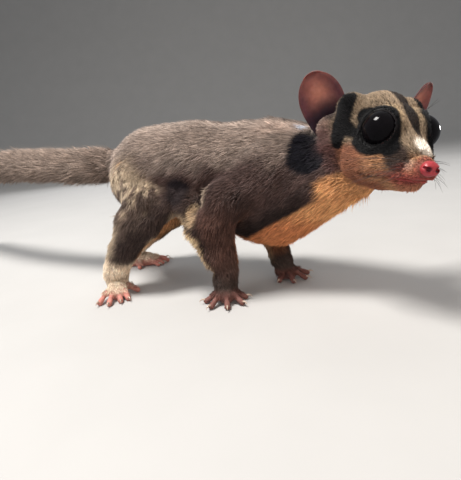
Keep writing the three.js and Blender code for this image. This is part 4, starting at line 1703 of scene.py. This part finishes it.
@dataclass(frozen=True)
class Tufts:
    """All tufts of the coat, one to a row."""

    roots: Array
    normals: Array
    shares: Array
    quads: Array  # the skin's quad that each grows on
    along: Array
    length: Array
    width: Array
    lift: Array  # how far the tips stand off the skin


TUFT_FACES = np.array([[0, 2, 1], [0, 3, 2], [0, 1, 3], [4, 1, 2], [4, 2, 3], [4, 3, 1]])
TUFT_PATCH = np.array([[0, -1], [-0.8, 0.1], [0.8, 0.1], [0.1, -0.2], [0, 1]])  # a tuft's corners, unwrapped


@dataclass
class Coat:
    """The fur: solid tufts, each a thin tapered prism that bends back along the skin."""

    anatomy: Anatomy
    surface: Surface
    markings: Markings
    limit: int = 32000
    bend: float = 0.42  # how far along its length a tuft is widest and bends
    bend_lift: float = 0.62
    sink: float = 0.4  # how deep its root lies under the skin
    ridge: float = 0.42  # its thickness at the bend, as a part of its width
    steepest: float = 0.75  # the most lift, as a part of the length
    seen: float = 0.62  # how far along its length its colour is looked up
    patch: float = 0.0015  # half a tuft's size on the unwrap
    bare_eye: float = 0.5  # how far round the eyeball no coat grows
    bare_nose: float = 2.55
    bare_lips: float = 0.35
    palm: float = 2.2  # below this height a paw is bare
    ground: float = 0.8  # below this height everything is bare
    sway: tuple[float, float] = (0.22, 0.2)  # how much noise and how much chance turn a tuft
    crease: float = 0.42  # how much shorter the coat is in the deepest creases
    ticks: Point = (0.6, 1.0, 1.7)  # how bright single tufts are beside the others
    odds: Point = (0.26, 0.52, 0.22)  # how often each of these comes
    shading: Array = place(0.42, 0.85, 0.85, 0.85, 1.2)  # how bright the five corners of a tuft are: dark roots and pale tips, partly the hair's own ticking, partly painted shade deep in the coat
    brightest: float = 0.95

    def density(self, shares: Array, p: Array, n: Array) -> Array:
        """How thick the coat grows.

        Args:
            shares: The parts' shares.
            p: Points on the skin.
            n: Its normals.

        Returns:
            Tufts to a square millimetre.
        """
        head = self.anatomy.head
        m = left_half(head.inside(p))
        on_head = shares[:, self.anatomy.index("head")] > 0.5
        nose = np.linalg.norm((m - head.nose) / [1, 1.1, 1], axis=1)
        openings = (head.off_eye(m) < self.bare_eye) | (nose < self.bare_nose)
        bare = on_head & (openings | (head.groove(m) < self.bare_lips))
        paws = self.anatomy.paws()
        on_paw = shares[:, [i for i, _ in paws]].sum(axis=1) > 0.5
        bare |= on_paw & ((p[:, 2] < self.palm) | (n[:, 2] < -0.2))
        for i, paw in paws:
            bare |= (shares[:, i] > 0.5) & paw.on_digit(p)
        bare |= p[:, 2] < self.ground
        return np.where(bare, 0, shares @ self.anatomy.pelts()[:, 3])

    def plant(self, rng: np.random.Generator) -> Tufts:
        """Spreads the tufts over the skin and gives each its way and its size.

        Args:
            rng: The source of chance.

        Returns:
            The tufts.
        """
        v = self.surface.vertices
        thick = self.density(self.anatomy.shares(v), v, unit(self.anatomy.gradient(v)))
        p, quads = self.surface.scatter(thick, rng)
        slope = self.anatomy.gradient(p)
        n = unit(slope)
        share = self.anatomy.shares(p)
        length, width, lift, _ = (share @ self.anatomy.pelts()).T
        flow = sum(part.flow(p) * s[:, None] for part, s in zip(self.anatomy.parts, share.T))
        lumps = np.stack([noise(p, 3.2, k) for k in (11, 12, 13)], axis=1)
        flow = unit(flow) + self.sway[0] * lumps + self.sway[1] * rng.normal(size=p.shape)
        along = unit(flow - n * (flow * n).sum(1, keepdims=True))
        crease = smooth(0.97, 0.72, np.linalg.norm(slope, axis=1))
        short = self.taper(p) * (1 - self.crease * crease)
        length = length * short * (0.92 + 0.16 * noise(p, 2.4, 21)) * rng.uniform(0.72, 1.12, len(p))
        lift = lift * np.minimum(short, 1) ** 0.7 * (1 + 0.2 * noise(p, 2.6, 22))
        lift = np.minimum(lift * rng.uniform(0.6, 1.12, len(p)), self.steepest * length)
        width = width * rng.uniform(0.7, 1.3, len(p))
        return Tufts(p, n, share, quads, along, length, width, lift)

    def taper(self, p: Array) -> Array:
        """Shortens the hair towards the end of the tail, on the lips and on the face.

        Args:
            p: Roots.

        Returns:
            A factor for each.
        """
        head = self.anatomy.head
        m = left_half(head.inside(p))
        end = 1 - 0.2 * smooth(-185, -212, p[:, 0])
        snout = 1 - 0.68 * smooth(10, 2.5, np.linalg.norm(m - head.nose, axis=1))
        eye = 1 - 0.45 * smooth(4.0, 0.8, np.abs(head.off_eye(m)))
        return end * snout * eye * (1 + 0.3 * self.markings.ear_tuft(p))

    def colours(self, tufts: Tufts, rng: np.random.Generator) -> Array:
        """The tufts' colours: that of the skin under their outer half, mottled and ticked.

        Args:
            tufts: The tufts.
            rng: The source of chance.

        Returns:
            Colours as tufts by five by three.
        """
        count = len(tufts.roots)
        p = tufts.roots + tufts.along * (self.seen * tufts.length)[:, None]
        colour = self.markings.colour(p, unit(self.anatomy.gradient(p)), self.anatomy.shares(p))
        ticks = rng.choice(self.ticks, size=count, p=self.odds)
        mottle = 1 + 0.2 * noise(p, 1.5, 31) + 0.17 * noise(p, 3.6, 32)
        shade = rng.uniform(0.85, 1.15, count) * mottle * ticks**0.75
        bright = colour[:, None] * shade[:, None, None] * self.shading[None, :, None]
        return np.clip(bright, 0, self.brightest)

    def spindles(self, tufts: Tufts) -> Array:
        """The five corners of each tuft: its root, a triangle where it is widest and bends, and its tip.

        Args:
            tufts: The tufts.

        Returns:
            Points as tufts by five by three.
        """
        p, n, along, lift = tufts.roots, tufts.normals, tufts.along, tufts.lift
        low = p - n * self.sink
        mid = p + along * (tufts.length * self.bend)[:, None] + n * (lift * self.bend_lift)[:, None]
        tip = p + along * tufts.length[:, None] + n * lift[:, None]
        half = np.cross(n, along) * (tufts.width / 2)[:, None]
        ridge = n * (tufts.width * self.ridge)[:, None]
        return np.stack([low, mid - half, mid + half, mid + ridge, tip], axis=1)

    def regions(self, tufts: Tufts) -> list[tuple[str, Array]]:
        """Sorts the tufts into regions, each in order from front to back.

        Args:
            tufts: The tufts.

        Returns:
            Each region's name and its tufts.
        """
        main = np.argmax(tufts.shares, axis=1)
        found = np.array([part.region.value for part in self.anatomy.parts])[main]
        limbs = (Region.ARM, Region.LEG, Region.FOLD, Region.HAND, Region.FOOT)
        groups = {"trunk": (Region.TRUNK,), "head": (Region.HEAD,), "tail": (Region.TAIL,), "limb": limbs}
        out = []
        for name, members in groups.items():
            mine = np.flatnonzero(np.isin(found, [member.value for member in members]))
            out.append((name, mine[np.argsort(-tufts.roots[mine, 0], kind="stable")]))
        return out

    def build(self, rng: np.random.Generator) -> None:
        """Grows every tuft and makes the pieces of the coat.

        Args:
            rng: The source of chance.
        """
        tufts = self.plant(rng)
        colours = self.colours(tufts, rng)
        vertices = self.spindles(tufts)
        uv = self.surface.uv(tufts.roots, self.surface.chart[tufts.quads])
        patch = uv[:, None] + TUFT_PATCH * self.patch
        slots = {"head": Slot.HEAD, "tail": Slot.TAIL}
        for name, mine in self.regions(tufts):
            pieces = max(1, math.ceil(len(mine) / self.limit))
            for number, group in enumerate(np.array_split(mine, pieces)):
                faces = TUFT_FACES[None] + 5 * np.arange(len(group))[:, None, None]
                made = make_mesh(
                    f"coat_{name}_{number + 1}",
                    vertices[group].reshape(-1, 3),
                    faces.reshape(-1, 3),
                    colours[group].reshape(-1, 3),
                    patch[group][:, TUFT_FACES].reshape(-1, 2),
                    smooth_shading=False,
                )
                dress(made, FINISHES.coat, slots.get(name, Slot.BACK))


@dataclass
class Eyes:
    """Two wet black eyeballs and the dark rims of their lids."""

    head: Head
    segments: int = 56
    rings: int = 36
    lid_rings: int = 14
    pole: float = 0.004  # how near its axis an eyeball's first and last rings are
    bulge: tuple[float, float] = (0.035, 0.75)  # how far the cornea stands out, and how wide it is
    opening: float = 1.75  # the plane of the lids' opening, along the look
    # where the lid starts before the opening, and how wide it is, in degrees
    lid_span: tuple[float, float] = (-5, 21)
    drawn: float = 0.1  # how much the lid is drawn out towards the eye's corners
    # corner and pink: a pale pink patch at the lid's front lower corner, the moist inner corner with a
    # painted wet highlight
    corner: Array = place(13.2, 6.4, 1.2)
    rim: Array = place(0.006, 0.0045, 0.005)
    pink: Array = tone(146, 104, 98)

    def ball(self, side: Side) -> tuple[Array, Array]:
        """One eyeball.

        Args:
            side: Which eye.

        Returns:
            Vertices and quads.
        """
        height, width = self.bulge
        theta = np.linspace(self.pole, math.pi - self.pole, self.rings)
        reach = 1 + height * np.exp(-((theta / width) ** 2))
        return self.revolve(side, np.sin(theta) * reach, np.cos(theta) * reach, 0.0)

    def lid(self, side: Side) -> tuple[Array, Array]:
        """The rim round one eye, drawn out a little at its two corners.

        Args:
            side: Which eye.

        Returns:
            Vertices and quads.
        """
        start, span = self.lid_span
        t = np.linspace(0, 1, self.lid_rings)
        theta = math.acos(self.opening / self.head.eye_radius) + np.radians(start + span * t)
        reach = 1.008 + 0.075 * np.sin(np.pi * np.clip(t * 1.08, 0, 1)) ** 0.8 - 0.03 * t
        return self.revolve(side, np.sin(theta) * reach, np.cos(theta) * reach, self.drawn)

    def lid_colours(self, vertices: Array, side: Side) -> Array:
        """Black lids with a pale pink patch low at the front: the moist inner corner, partly a painted wet
        highlight.
        """
        away = np.linalg.norm(self.head.inside(vertices) - self.corner * side.flip, axis=1)
        return self.rim + (self.pink - self.rim) * smooth(3.2, 1.4, away)[:, None]

    def revolve(self, side: Side, out: Array, ahead: Array, corner: float) -> tuple[Array, Array]:
        """Turns a profile about the eye's look.

        Args:
            side: Which eye.
            out: The profile's distance from the axis, as parts of the eye's radius.
            ahead: The profile's place along the axis.
            corner: How much the profile is drawn out towards the corners of the eye.

        Returns:
            Vertices in the body's frame, and quads.
        """
        look = self.head.look * side.flip
        up = unit(UPWARD - look * look[2])
        angle = np.linspace(0, 2 * math.pi, self.segments, endpoint=False)
        draw = 1 + corner * np.abs(np.cos(angle)) ** 5
        around = np.cos(angle)[:, None] * np.cross(up, look) + np.sin(angle)[:, None] * up
        radial = out[:, None, None] * (around * draw[:, None])[None]
        v = self.head.eye * side.flip + self.head.eye_radius * (radial + ahead[:, None, None] * look)
        return self.head.outside(v.reshape(-1, 3)), mesh_of_rows(len(out), self.segments, closed=True)

    def build(self) -> None:
        """Makes the eyes and lids."""
        for side in Side:
            name = side.label
            v, f = self.ball(side)
            dress(make_mesh(f"eyeball_{name}", v, f), FINISHES.eye, Slot.EYE, [f"eye_{name}"])
            v, f = self.lid(side)
            made = make_mesh(f"lid_{name}", v, f, self.lid_colours(v, side))
            dress(made, FINISHES.lid, Slot.HEAD)


@dataclass
class Ears:
    """Thin bare leaves with a rolled base, a fine rim and faint ridges across the inside."""

    head: Head
    rows: int = 44
    columns: int = 30
    root: Array = place(-9.5, 12, 1.6)
    rise: Array = place(-0.05, 0.47, 0.87)
    open: Array = place(0.8, 0.6, -0.2)
    height: float = 22.4
    width: float = 14.5
    widest: float = 0.58  # how far up it is widest
    base: float = 0.55
    # half the angle that it is rolled over, in degrees, at the root and at the tip
    curl: tuple[float, float] = (85, 32)
    start: float = -0.12  # where it starts, as a part of its height
    last: float = 88.5
    ridge: float = 0.09
    ridges: tuple[float, float] = (36, 5)  # how close they follow one another, and how much they bow
    flare: float = 0.5
    # its thickness at the root, and how much of it is gone at the rim
    thickness: tuple[float, float] = (0.7, 0.4)
    skin: Array = tone(113, 69, 64)
    edge: Array = tone(78, 45, 53)
    # painted light shining through the thin middle of the ear
    glow: Array = tone(164, 108, 91)
    dark: Array = tone(36, 21, 31)
    rim: Array = tone(90, 54, 51)
    behind: float = 0.85

    def grid(self) -> tuple[Array, Array]:
        """The leaf's points, laid out flat.

        Returns:
            How far up each point is, from the root, 0, to the tip, 1, and how far across, from -1 to 1.
        """
        upper = self.rows // 2
        lower = np.linspace(self.start, self.widest, self.rows - upper, endpoint=False)
        crown = self.widest + (1 - self.widest) * np.sin(np.radians(np.linspace(0, self.last, upper)))
        u, v = np.meshgrid(np.concatenate([lower, crown]), np.linspace(-1, 1, self.columns), indexing="ij")
        return u, v

    def half_width(self, rise: Array) -> Array:
        """Half the leaf's width, measured straight across.

        Args:
            rise: How far up, from 0 to 1.

        Returns:
            The half width at each point.
        """
        low = self.base + (1 - self.base) * np.sin(np.pi / 2 * rise / self.widest)
        over = (rise - self.widest) / (1 - self.widest)
        high = np.sqrt(np.maximum(1 - over**2, 1e-4))
        return self.width / 2 * np.where(rise < self.widest, low, high)

    def leaf(self, side: Side) -> tuple[Array, Array, Array]:
        """One ear.

        Args:
            side: Which ear.

        Returns:
            Vertices, quads and colours.
        """
        up = unit(self.rise * side.flip)
        opening = self.open * side.flip
        face = unit(opening - up * (opening @ up))
        across = np.cross(up, face)
        u, v = self.grid()
        rise = np.maximum(u, 0)
        edge = np.maximum(np.abs(v), smooth(0.7, 1.0, u))
        curl = np.radians(self.curl[0] + (self.curl[1] - self.curl[0]) * np.sqrt(rise))
        arc = self.half_width(rise) / np.sin(curl)
        close, bow = self.ridges
        ridge = self.ridge * np.sin(rise * close + bow * v**2) * smooth(0.95, 0.2, np.abs(v))
        ridge = ridge * smooth(0.15, 0.3, u) * smooth(0.92, 0.7, u)
        flare = self.flare * smooth(0.8, 1.0, edge) * smooth(0.1, 0.4, u)
        deep = arc * (np.cos(curl) - np.cos(v * curl)) + ridge - flare
        middle = self.root * side.flip + up * (self.height * u)[..., None]
        front = middle + across * (arc * np.sin(v * curl))[..., None] + face * deep[..., None]
        slope = unit(np.cross(np.gradient(front, axis=0), np.gradient(front, axis=1)))
        slope = np.where((slope @ face)[..., None] > 0, -slope, slope)
        thick, thinner = self.thickness
        back = front + slope * (thick - thinner * np.maximum(edge, rise))[..., None]
        colours = self.colours(u, v, edge).reshape(-1, 3)
        points = np.concatenate([front.reshape(-1, 3), back.reshape(-1, 3)])
        both = np.concatenate([colours, colours * self.behind])
        return self.head.outside(points), self.faces(side), both

    def faces(self, side: Side) -> Array:
        """The quads of both sides of the leaf and of its rim.

        Args:
            side: Which ear.

        Returns:
            Rows of four indices.
        """
        rows, columns = self.rows, self.columns
        front = mesh_of_rows(rows, columns)
        back = front[:, ::-1] + rows * columns
        index = np.arange(rows * columns).reshape(rows, columns)
        rim = np.concatenate([index[0], index[1:, -1], index[-1, -2::-1], index[-2:0:-1, 0]])
        after = np.roll(rim, -1)
        edge = np.stack([rim, rim + rows * columns, after + rows * columns, after], axis=1)
        quads = np.concatenate([front, back, edge])
        return quads if side is Side.LEFT else quads[:, ::-1]

    def colours(self, u: Array, v: Array, edge: Array) -> Array:
        """Dark purple base, a painted glow of light shining through the middle, and a darker rim.

        Args:
            u: From the root, 0, to the tip, 1.
            v: From one edge, -1, to the other, 1.
            edge: How near the rim.

        Returns:
            A colour for each point.
        """
        layers = (
            (self.edge, smooth(0.3, 0.95, np.abs(v)) * smooth(0.95, 0.65, u)),
            # painted light shining through the ear
            (self.glow, np.exp(-(((u - 0.72) / 0.15) ** 2) - ((v + 0.05) / 0.4) ** 2)),
            (self.rim, smooth(0.82, 1.0, edge) * 0.7),
            (self.dark, smooth(0.66, 0.4, u + 0.08 * np.abs(v))),
        )
        return layered(np.tile(self.skin, (*u.shape, 1)), layers)

    def build(self) -> None:
        """Makes the ears."""
        for side in Side:
            v, f, c = self.leaf(side)
            made = make_mesh(f"pinna_{side.label}", v, f, c)
            dress(made, FINISHES.ear, Slot.EAR, [f"ear_{side.label}"])


@dataclass
class Nose:
    """The moist nose pad with two comma-shaped nostrils and a furrow."""

    head: Head
    step: float = 0.16
    room: float = 3.3
    pad: Point = (2.0, 2.45, 2.15)
    wing: Shape = ((0.5, 1.2, -0.2), (1.5, 1.35, 1.5))
    nostril: Shape = ((1.9, 1.15, -0.25), (0.6, 1.9, 0.1), 0.62, 0.4)
    slit: Shape = ((1.3, 1.9, 0.15), (0.4, 2.9, 0.55), 0.3, 0.22)
    furrow: Shape = ((2.3, 0, 0.9), (1.9, 0, -1.9), 0.2, 0.28)
    pink: Array = tone(152, 50, 56)
    # dark red inside the nostrils: painted shade in the openings
    deep: Array = tone(66, 14, 22)
    hole: Array = place(1.5, 1.35, -0.15)  # where the painted shade in each nostril is darkest, from the pad's middle

    def distance(self, q: Array) -> Array:
        """The distance from the pad.

        Args:
            q: Points in the head's frame.

        Returns:
            The distances, negative inside.
        """
        m = left_half(q) - self.head.nose
        total = blend(egg(m, (0, 0, 0), self.pad), egg(m, *self.wing), 0.5)
        for shape, edge in ((self.nostril, 0.35), (self.slit, 0.25), (self.furrow, 0.35)):
            total = carve(total, cone(m, *shape), edge)
        return total

    def build(self) -> None:
        """Makes the nose."""
        axes = [np.arange(c - self.room, c + self.room, self.step) for c in self.head.nose]
        v, f = Net(axes, self.distance).mesh()
        away = np.linalg.norm(left_half(v - self.head.nose) - self.hole, axis=1)
        c = self.deep + (self.pink - self.deep) * smooth(0.5, 1.15, away)[:, None]
        made = make_mesh("nose_leather", self.head.outside(v), f, c)
        dress(made, FINISHES.nose, Slot.NOSE, ["nose_pad"])


@dataclass
class Mouth:
    """Thin lips along the line of the mouth."""

    head: Head
    half_count: int = 28
    pink: Array = tone(140, 54, 50)
    # the upper lip's height over the mouth, its place out of the skin, and its radius
    upper: tuple[float, float, float] = (0.42, -0.12, 0.4)
    lower: tuple[float, float, float] = (-0.5, -0.1, 0.4)
    end: float = 0.03
    sides: int = 10

    def lip(self, rise: float, out: float) -> Array:
        """One lip's line, from corner to corner, at a height over the mouth and a reach out of the skin."""
        half = self.head.lip_line(rise, self.half_count, out)
        return np.concatenate([half[:0:-1] * [1, -1, 1], half])

    def build(self) -> None:
        """Makes the lips."""
        taper = np.sin(np.linspace(0, math.pi, 2 * self.half_count - 1)) ** 0.45
        taper[[0, -1]] = self.end
        lips = (self.upper, self.lower)
        paths = np.stack([self.lip(rise, out) for rise, out, _ in lips])
        v, f = tubes(paths, np.stack([radius * taper for _, _, radius in lips]), self.sides)
        made = make_mesh("lips", self.head.outside(v), f, np.tile(self.pink, (len(v), 1)))
        dress(made, FINISHES.lip, Slot.NOSE)


@dataclass
class Claws:
    """Small curved claws on every digit but the great toe."""

    anatomy: Anatomy
    length: float = 2.5
    # how far before a digit's last joint it starts, and how high over it
    start: tuple[float, float] = (0.35, 0.45)
    arch: tuple[float, float] = (0.75, 2.2)  # how high it bends up, and how far round that bend runs
    drop: float = 1.15  # how far it bends down at the tip
    thick: tuple[float, float] = (0.46, 0.03)  # its radius at the root and what is left of it at the tip
    rings: int = 9
    sides: int = 8

    def build(self) -> None:
        """Makes the claws."""
        t = np.linspace(0, 1, self.rings)
        ahead, over = self.start
        rise = over + self.arch[0] * np.sin(t * self.arch[1]) - self.drop * t**2
        reach = ahead + self.length * t
        roots = [claw for _, paw in self.anatomy.paws() for claw in paw.claws()]
        paths = np.array([root + way * reach[:, None] + UPWARD * rise[:, None] for root, way in roots])
        radii = np.tile(self.thick[0] * (1 - t) ** 0.75 + self.thick[1], (len(paths), 1))
        v, f = tubes(paths, radii, self.sides)
        dress(make_mesh("claws", v, f), FINISHES.claw, Slot.PAW)


@dataclass
class Whiskers:
    """Fine dark whiskers on the muzzle and the brow."""

    head: Head
    rows: int = 4
    per_row: int = 4
    brows: int = 2
    brow: Point = (10.5, 5.5, 10.6)
    brow_length: float = 8.0
    bend: Array = place(-0.35, 0, -0.2)
    sink: float = 0.8
    thick: tuple[float, float] = (0.055, 0.012)  # the radius at the root and what is left of it at the tip
    rings: int = 9
    sides: int = 5

    def build(self, rng: np.random.Generator) -> None:
        """Makes the whiskers.

        Args:
            rng: The source of chance.
        """
        t = np.linspace(0, 1, self.rings)
        paths = []
        for side in Side:
            for row in range(self.rows):
                paths += [self.on_muzzle(side, row, i, t, rng) for i in range(self.per_row)]
            brow = self.brow * side.flip
            for i in range(self.brows):
                way = unit(np.array([0.35, side * 0.75, 0.75 + 0.2 * i]))
                paths.append(self.hair(brow, way, self.brow_length, t))
        radii = np.tile(self.thick[0] * (1 - t) ** 0.7 + self.thick[1], (len(paths), 1))
        v, f = tubes(np.array(paths), radii, self.sides)
        dress(make_mesh("whiskers", self.head.outside(v), f), FINISHES.whisker, Slot.HEAD)

    def on_muzzle(self, side: Side, row: int, i: int, t: Array, rng: np.random.Generator) -> Array:
        """One whisker of the muzzle.

        Args:
            side: The side of the head.
            row: Its row, from the top.
            i: Its place in the row, from the front.
            t: As for a hair.
            rng: The source of chance.

        Returns:
            Its points.
        """
        root = np.array([19.5 - 1.3 * i, side * (2.6 + 0.75 * i), -4.2 - 1.0 * row + 0.2 * i])
        way = np.array([0.25 - 0.22 * i, side * 1.0, -0.15 * row + 0.15 + rng.normal() * 0.06])
        return self.hair(root, unit(way), (9 + 1.6 * i) * rng.uniform(0.85, 1.1), t)

    def hair(self, root: Array, way: Array, length: float, t: Array) -> Array:
        """One whisker, which bends back and down; `t` runs from 0 at its root to 1 at its tip."""
        bend = self.bend * length
        return root - way * self.sink + way * (length * t)[:, None] + bend * (t**2)[:, None]


@dataclass(frozen=True)
class Lamp:
    """A soft square light."""

    name: str
    at: Point
    aim: Point
    size: float
    watts: float
    colour: tuple[float, float, float]
    mirrored: bool = True  # whether it shows in the eyes


MIDDLE = (20, -5, 45)
LAMPS = (
    Lamp("key", (-130, -150, 660), MIDDLE, 215, 7.6, (1.0, 0.97, 0.93)),
    Lamp("fill", (-260, -560, 240), MIDDLE, 600, 1.6, (0.94, 0.96, 1.0), mirrored=False),
    Lamp("front", (420, -330, 200), (55, -12, 45), 420, 1.2, (1.0, 0.84, 0.7), mirrored=False),
    Lamp("back", (-330, 480, 380), MIDDLE, 600, 2.2, (0.97, 0.98, 1.0), mirrored=False),
    Lamp("window", (390, 505, 92), (70, -12, 50), 75, 0.7, (1.0, 0.98, 0.96)),
)


@dataclass(frozen=True)
class Studio:
    """The floor, the lights and the camera."""

    at: Point = (77.5, -150.7, 59.6)
    azimuth: float = 26.0  # how far round from -Y it stands, in degrees
    elevation: float = 14.0
    roll: float = 6.0
    lens: float = 30.0
    sensor: float = 36.0
    clip: float = 0.005
    near: float = -900.0  # where the floor starts, before the animal
    far: float = 1500.0  # where it ends, behind the animal
    radius: float = 500.0  # the radius of its bend upwards
    wall: float = 1200  # how high it goes on from there
    half_width: float = 1800
    back: float = 50.0
    rows: int = 24
    columns: int = 10
    sky: tuple[float, float, float] = (0.82, 0.84, 0.87)
    sky_strength: float = 0.34

    def camera(self) -> None:
        """Puts the camera where the photo was taken from."""
        a, e, r = np.radians([self.azimuth, self.elevation, self.roll])
        back = np.array([math.sin(a) * math.cos(e), -math.cos(a) * math.cos(e), math.sin(e)])
        right = np.array([math.cos(a), math.sin(a), 0.0])
        up = np.cross(back, right)
        turned_right = math.cos(r) * right - math.sin(r) * up
        turned_up = math.sin(r) * right + math.cos(r) * up
        data = bpy.data.cameras.new("camera")
        data.lens = self.lens
        data.sensor_width = self.sensor
        data.clip_start = self.clip
        made = bpy.data.objects.new("camera", data)
        made.matrix_world = self.matrix(turned_right, turned_up, back, self.at)
        bpy.context.scene.collection.objects.link(made)
        bpy.context.scene.camera = made

    def matrix(self, x: Array, y: Array, z: Array, at: Point) -> Matrix:
        """A placement from three axes and a point in the body's frame."""
        rows = np.stack([x, y, z, (np.array(at) - ORIGIN) * MM], axis=1)
        return Matrix([*rows.tolist(), [0, 0, 0, 1]])

    def light(self, lamp: Lamp) -> None:
        """Hangs a light.

        Args:
            lamp: Its plan.
        """
        data = bpy.data.lights.new(lamp.name, "AREA")
        data.size = lamp.size * MM
        data.energy = lamp.watts
        data.color = lamp.colour
        made = bpy.data.objects.new(lamp.name, data)
        back = unit(np.array(lamp.at, float) - np.array(lamp.aim, float))
        right = unit(np.cross([0, 0.001, 1.0], back))
        made.matrix_world = self.matrix(right, np.cross(back, right), back, np.array(lamp.at, float))
        made.visible_glossy = lamp.mirrored
        bpy.context.scene.collection.objects.link(made)

    def floor(self) -> None:
        """A pale floor that curves up far behind."""
        level, turn, upright = 0.45, 0.25, 0.3  # the parts of the rows that lie, turn up and stand
        t = np.linspace(0, 1, self.rows)
        bend = np.clip((t - level) / turn, 0, 1) * math.pi / 2
        start = self.far - self.radius
        depth = np.interp(t, [0, level], [self.near, start]) + self.radius * np.sin(bend)
        height = self.radius * (1 - np.cos(bend)) + self.wall * np.maximum(t - level - turn, 0) / upright
        wide = np.linspace(-self.half_width, self.half_width, self.columns)
        a = math.radians(self.azimuth)
        right, ahead = np.array([math.cos(a), math.sin(a), 0]), np.array([-math.sin(a), math.cos(a), 0])
        grid = right * wide[None, :, None] + ahead * depth[:, None, None]
        grid = grid + UPWARD * height[:, None, None] + np.array([-self.back, 0, 0])
        made = make_mesh("floor", grid.reshape(-1, 3), mesh_of_rows(self.rows, self.columns))
        made.data.materials.append(FINISHES.floor.material())
        made.visible_glossy = False

    def build(self) -> None:
        """Makes the studio."""
        self.camera()
        self.floor()
        for lamp in LAMPS:
            self.light(lamp)
        world = bpy.data.worlds.new("world")
        world.use_nodes = True
        sky = world.node_tree.nodes["Background"]
        sky.inputs["Color"].default_value = (*self.sky, 1)
        sky.inputs["Strength"].default_value = self.sky_strength
        bpy.context.scene.world = world
        bpy.context.scene.view_settings.view_transform = "Standard"


def main() -> None:
    """Builds everything in order."""
    logging.basicConfig(level=logging.INFO, format="%(message)s", stream=sys.stdout)
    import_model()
    rng = np.random.default_rng(SEED)
    anatomy = Anatomy()
    markings = Markings(anatomy)
    Studio().build()
    surface = Skin(anatomy, markings).build()
    for piece in (Eyes, Ears, Nose, Mouth):
        piece(anatomy.head).build()
    Claws(anatomy).build()
    Whiskers(anatomy.head).build(rng)
    Coat(anatomy, surface, markings).build(rng)
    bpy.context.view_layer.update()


if __name__ == "__main__":
    main()
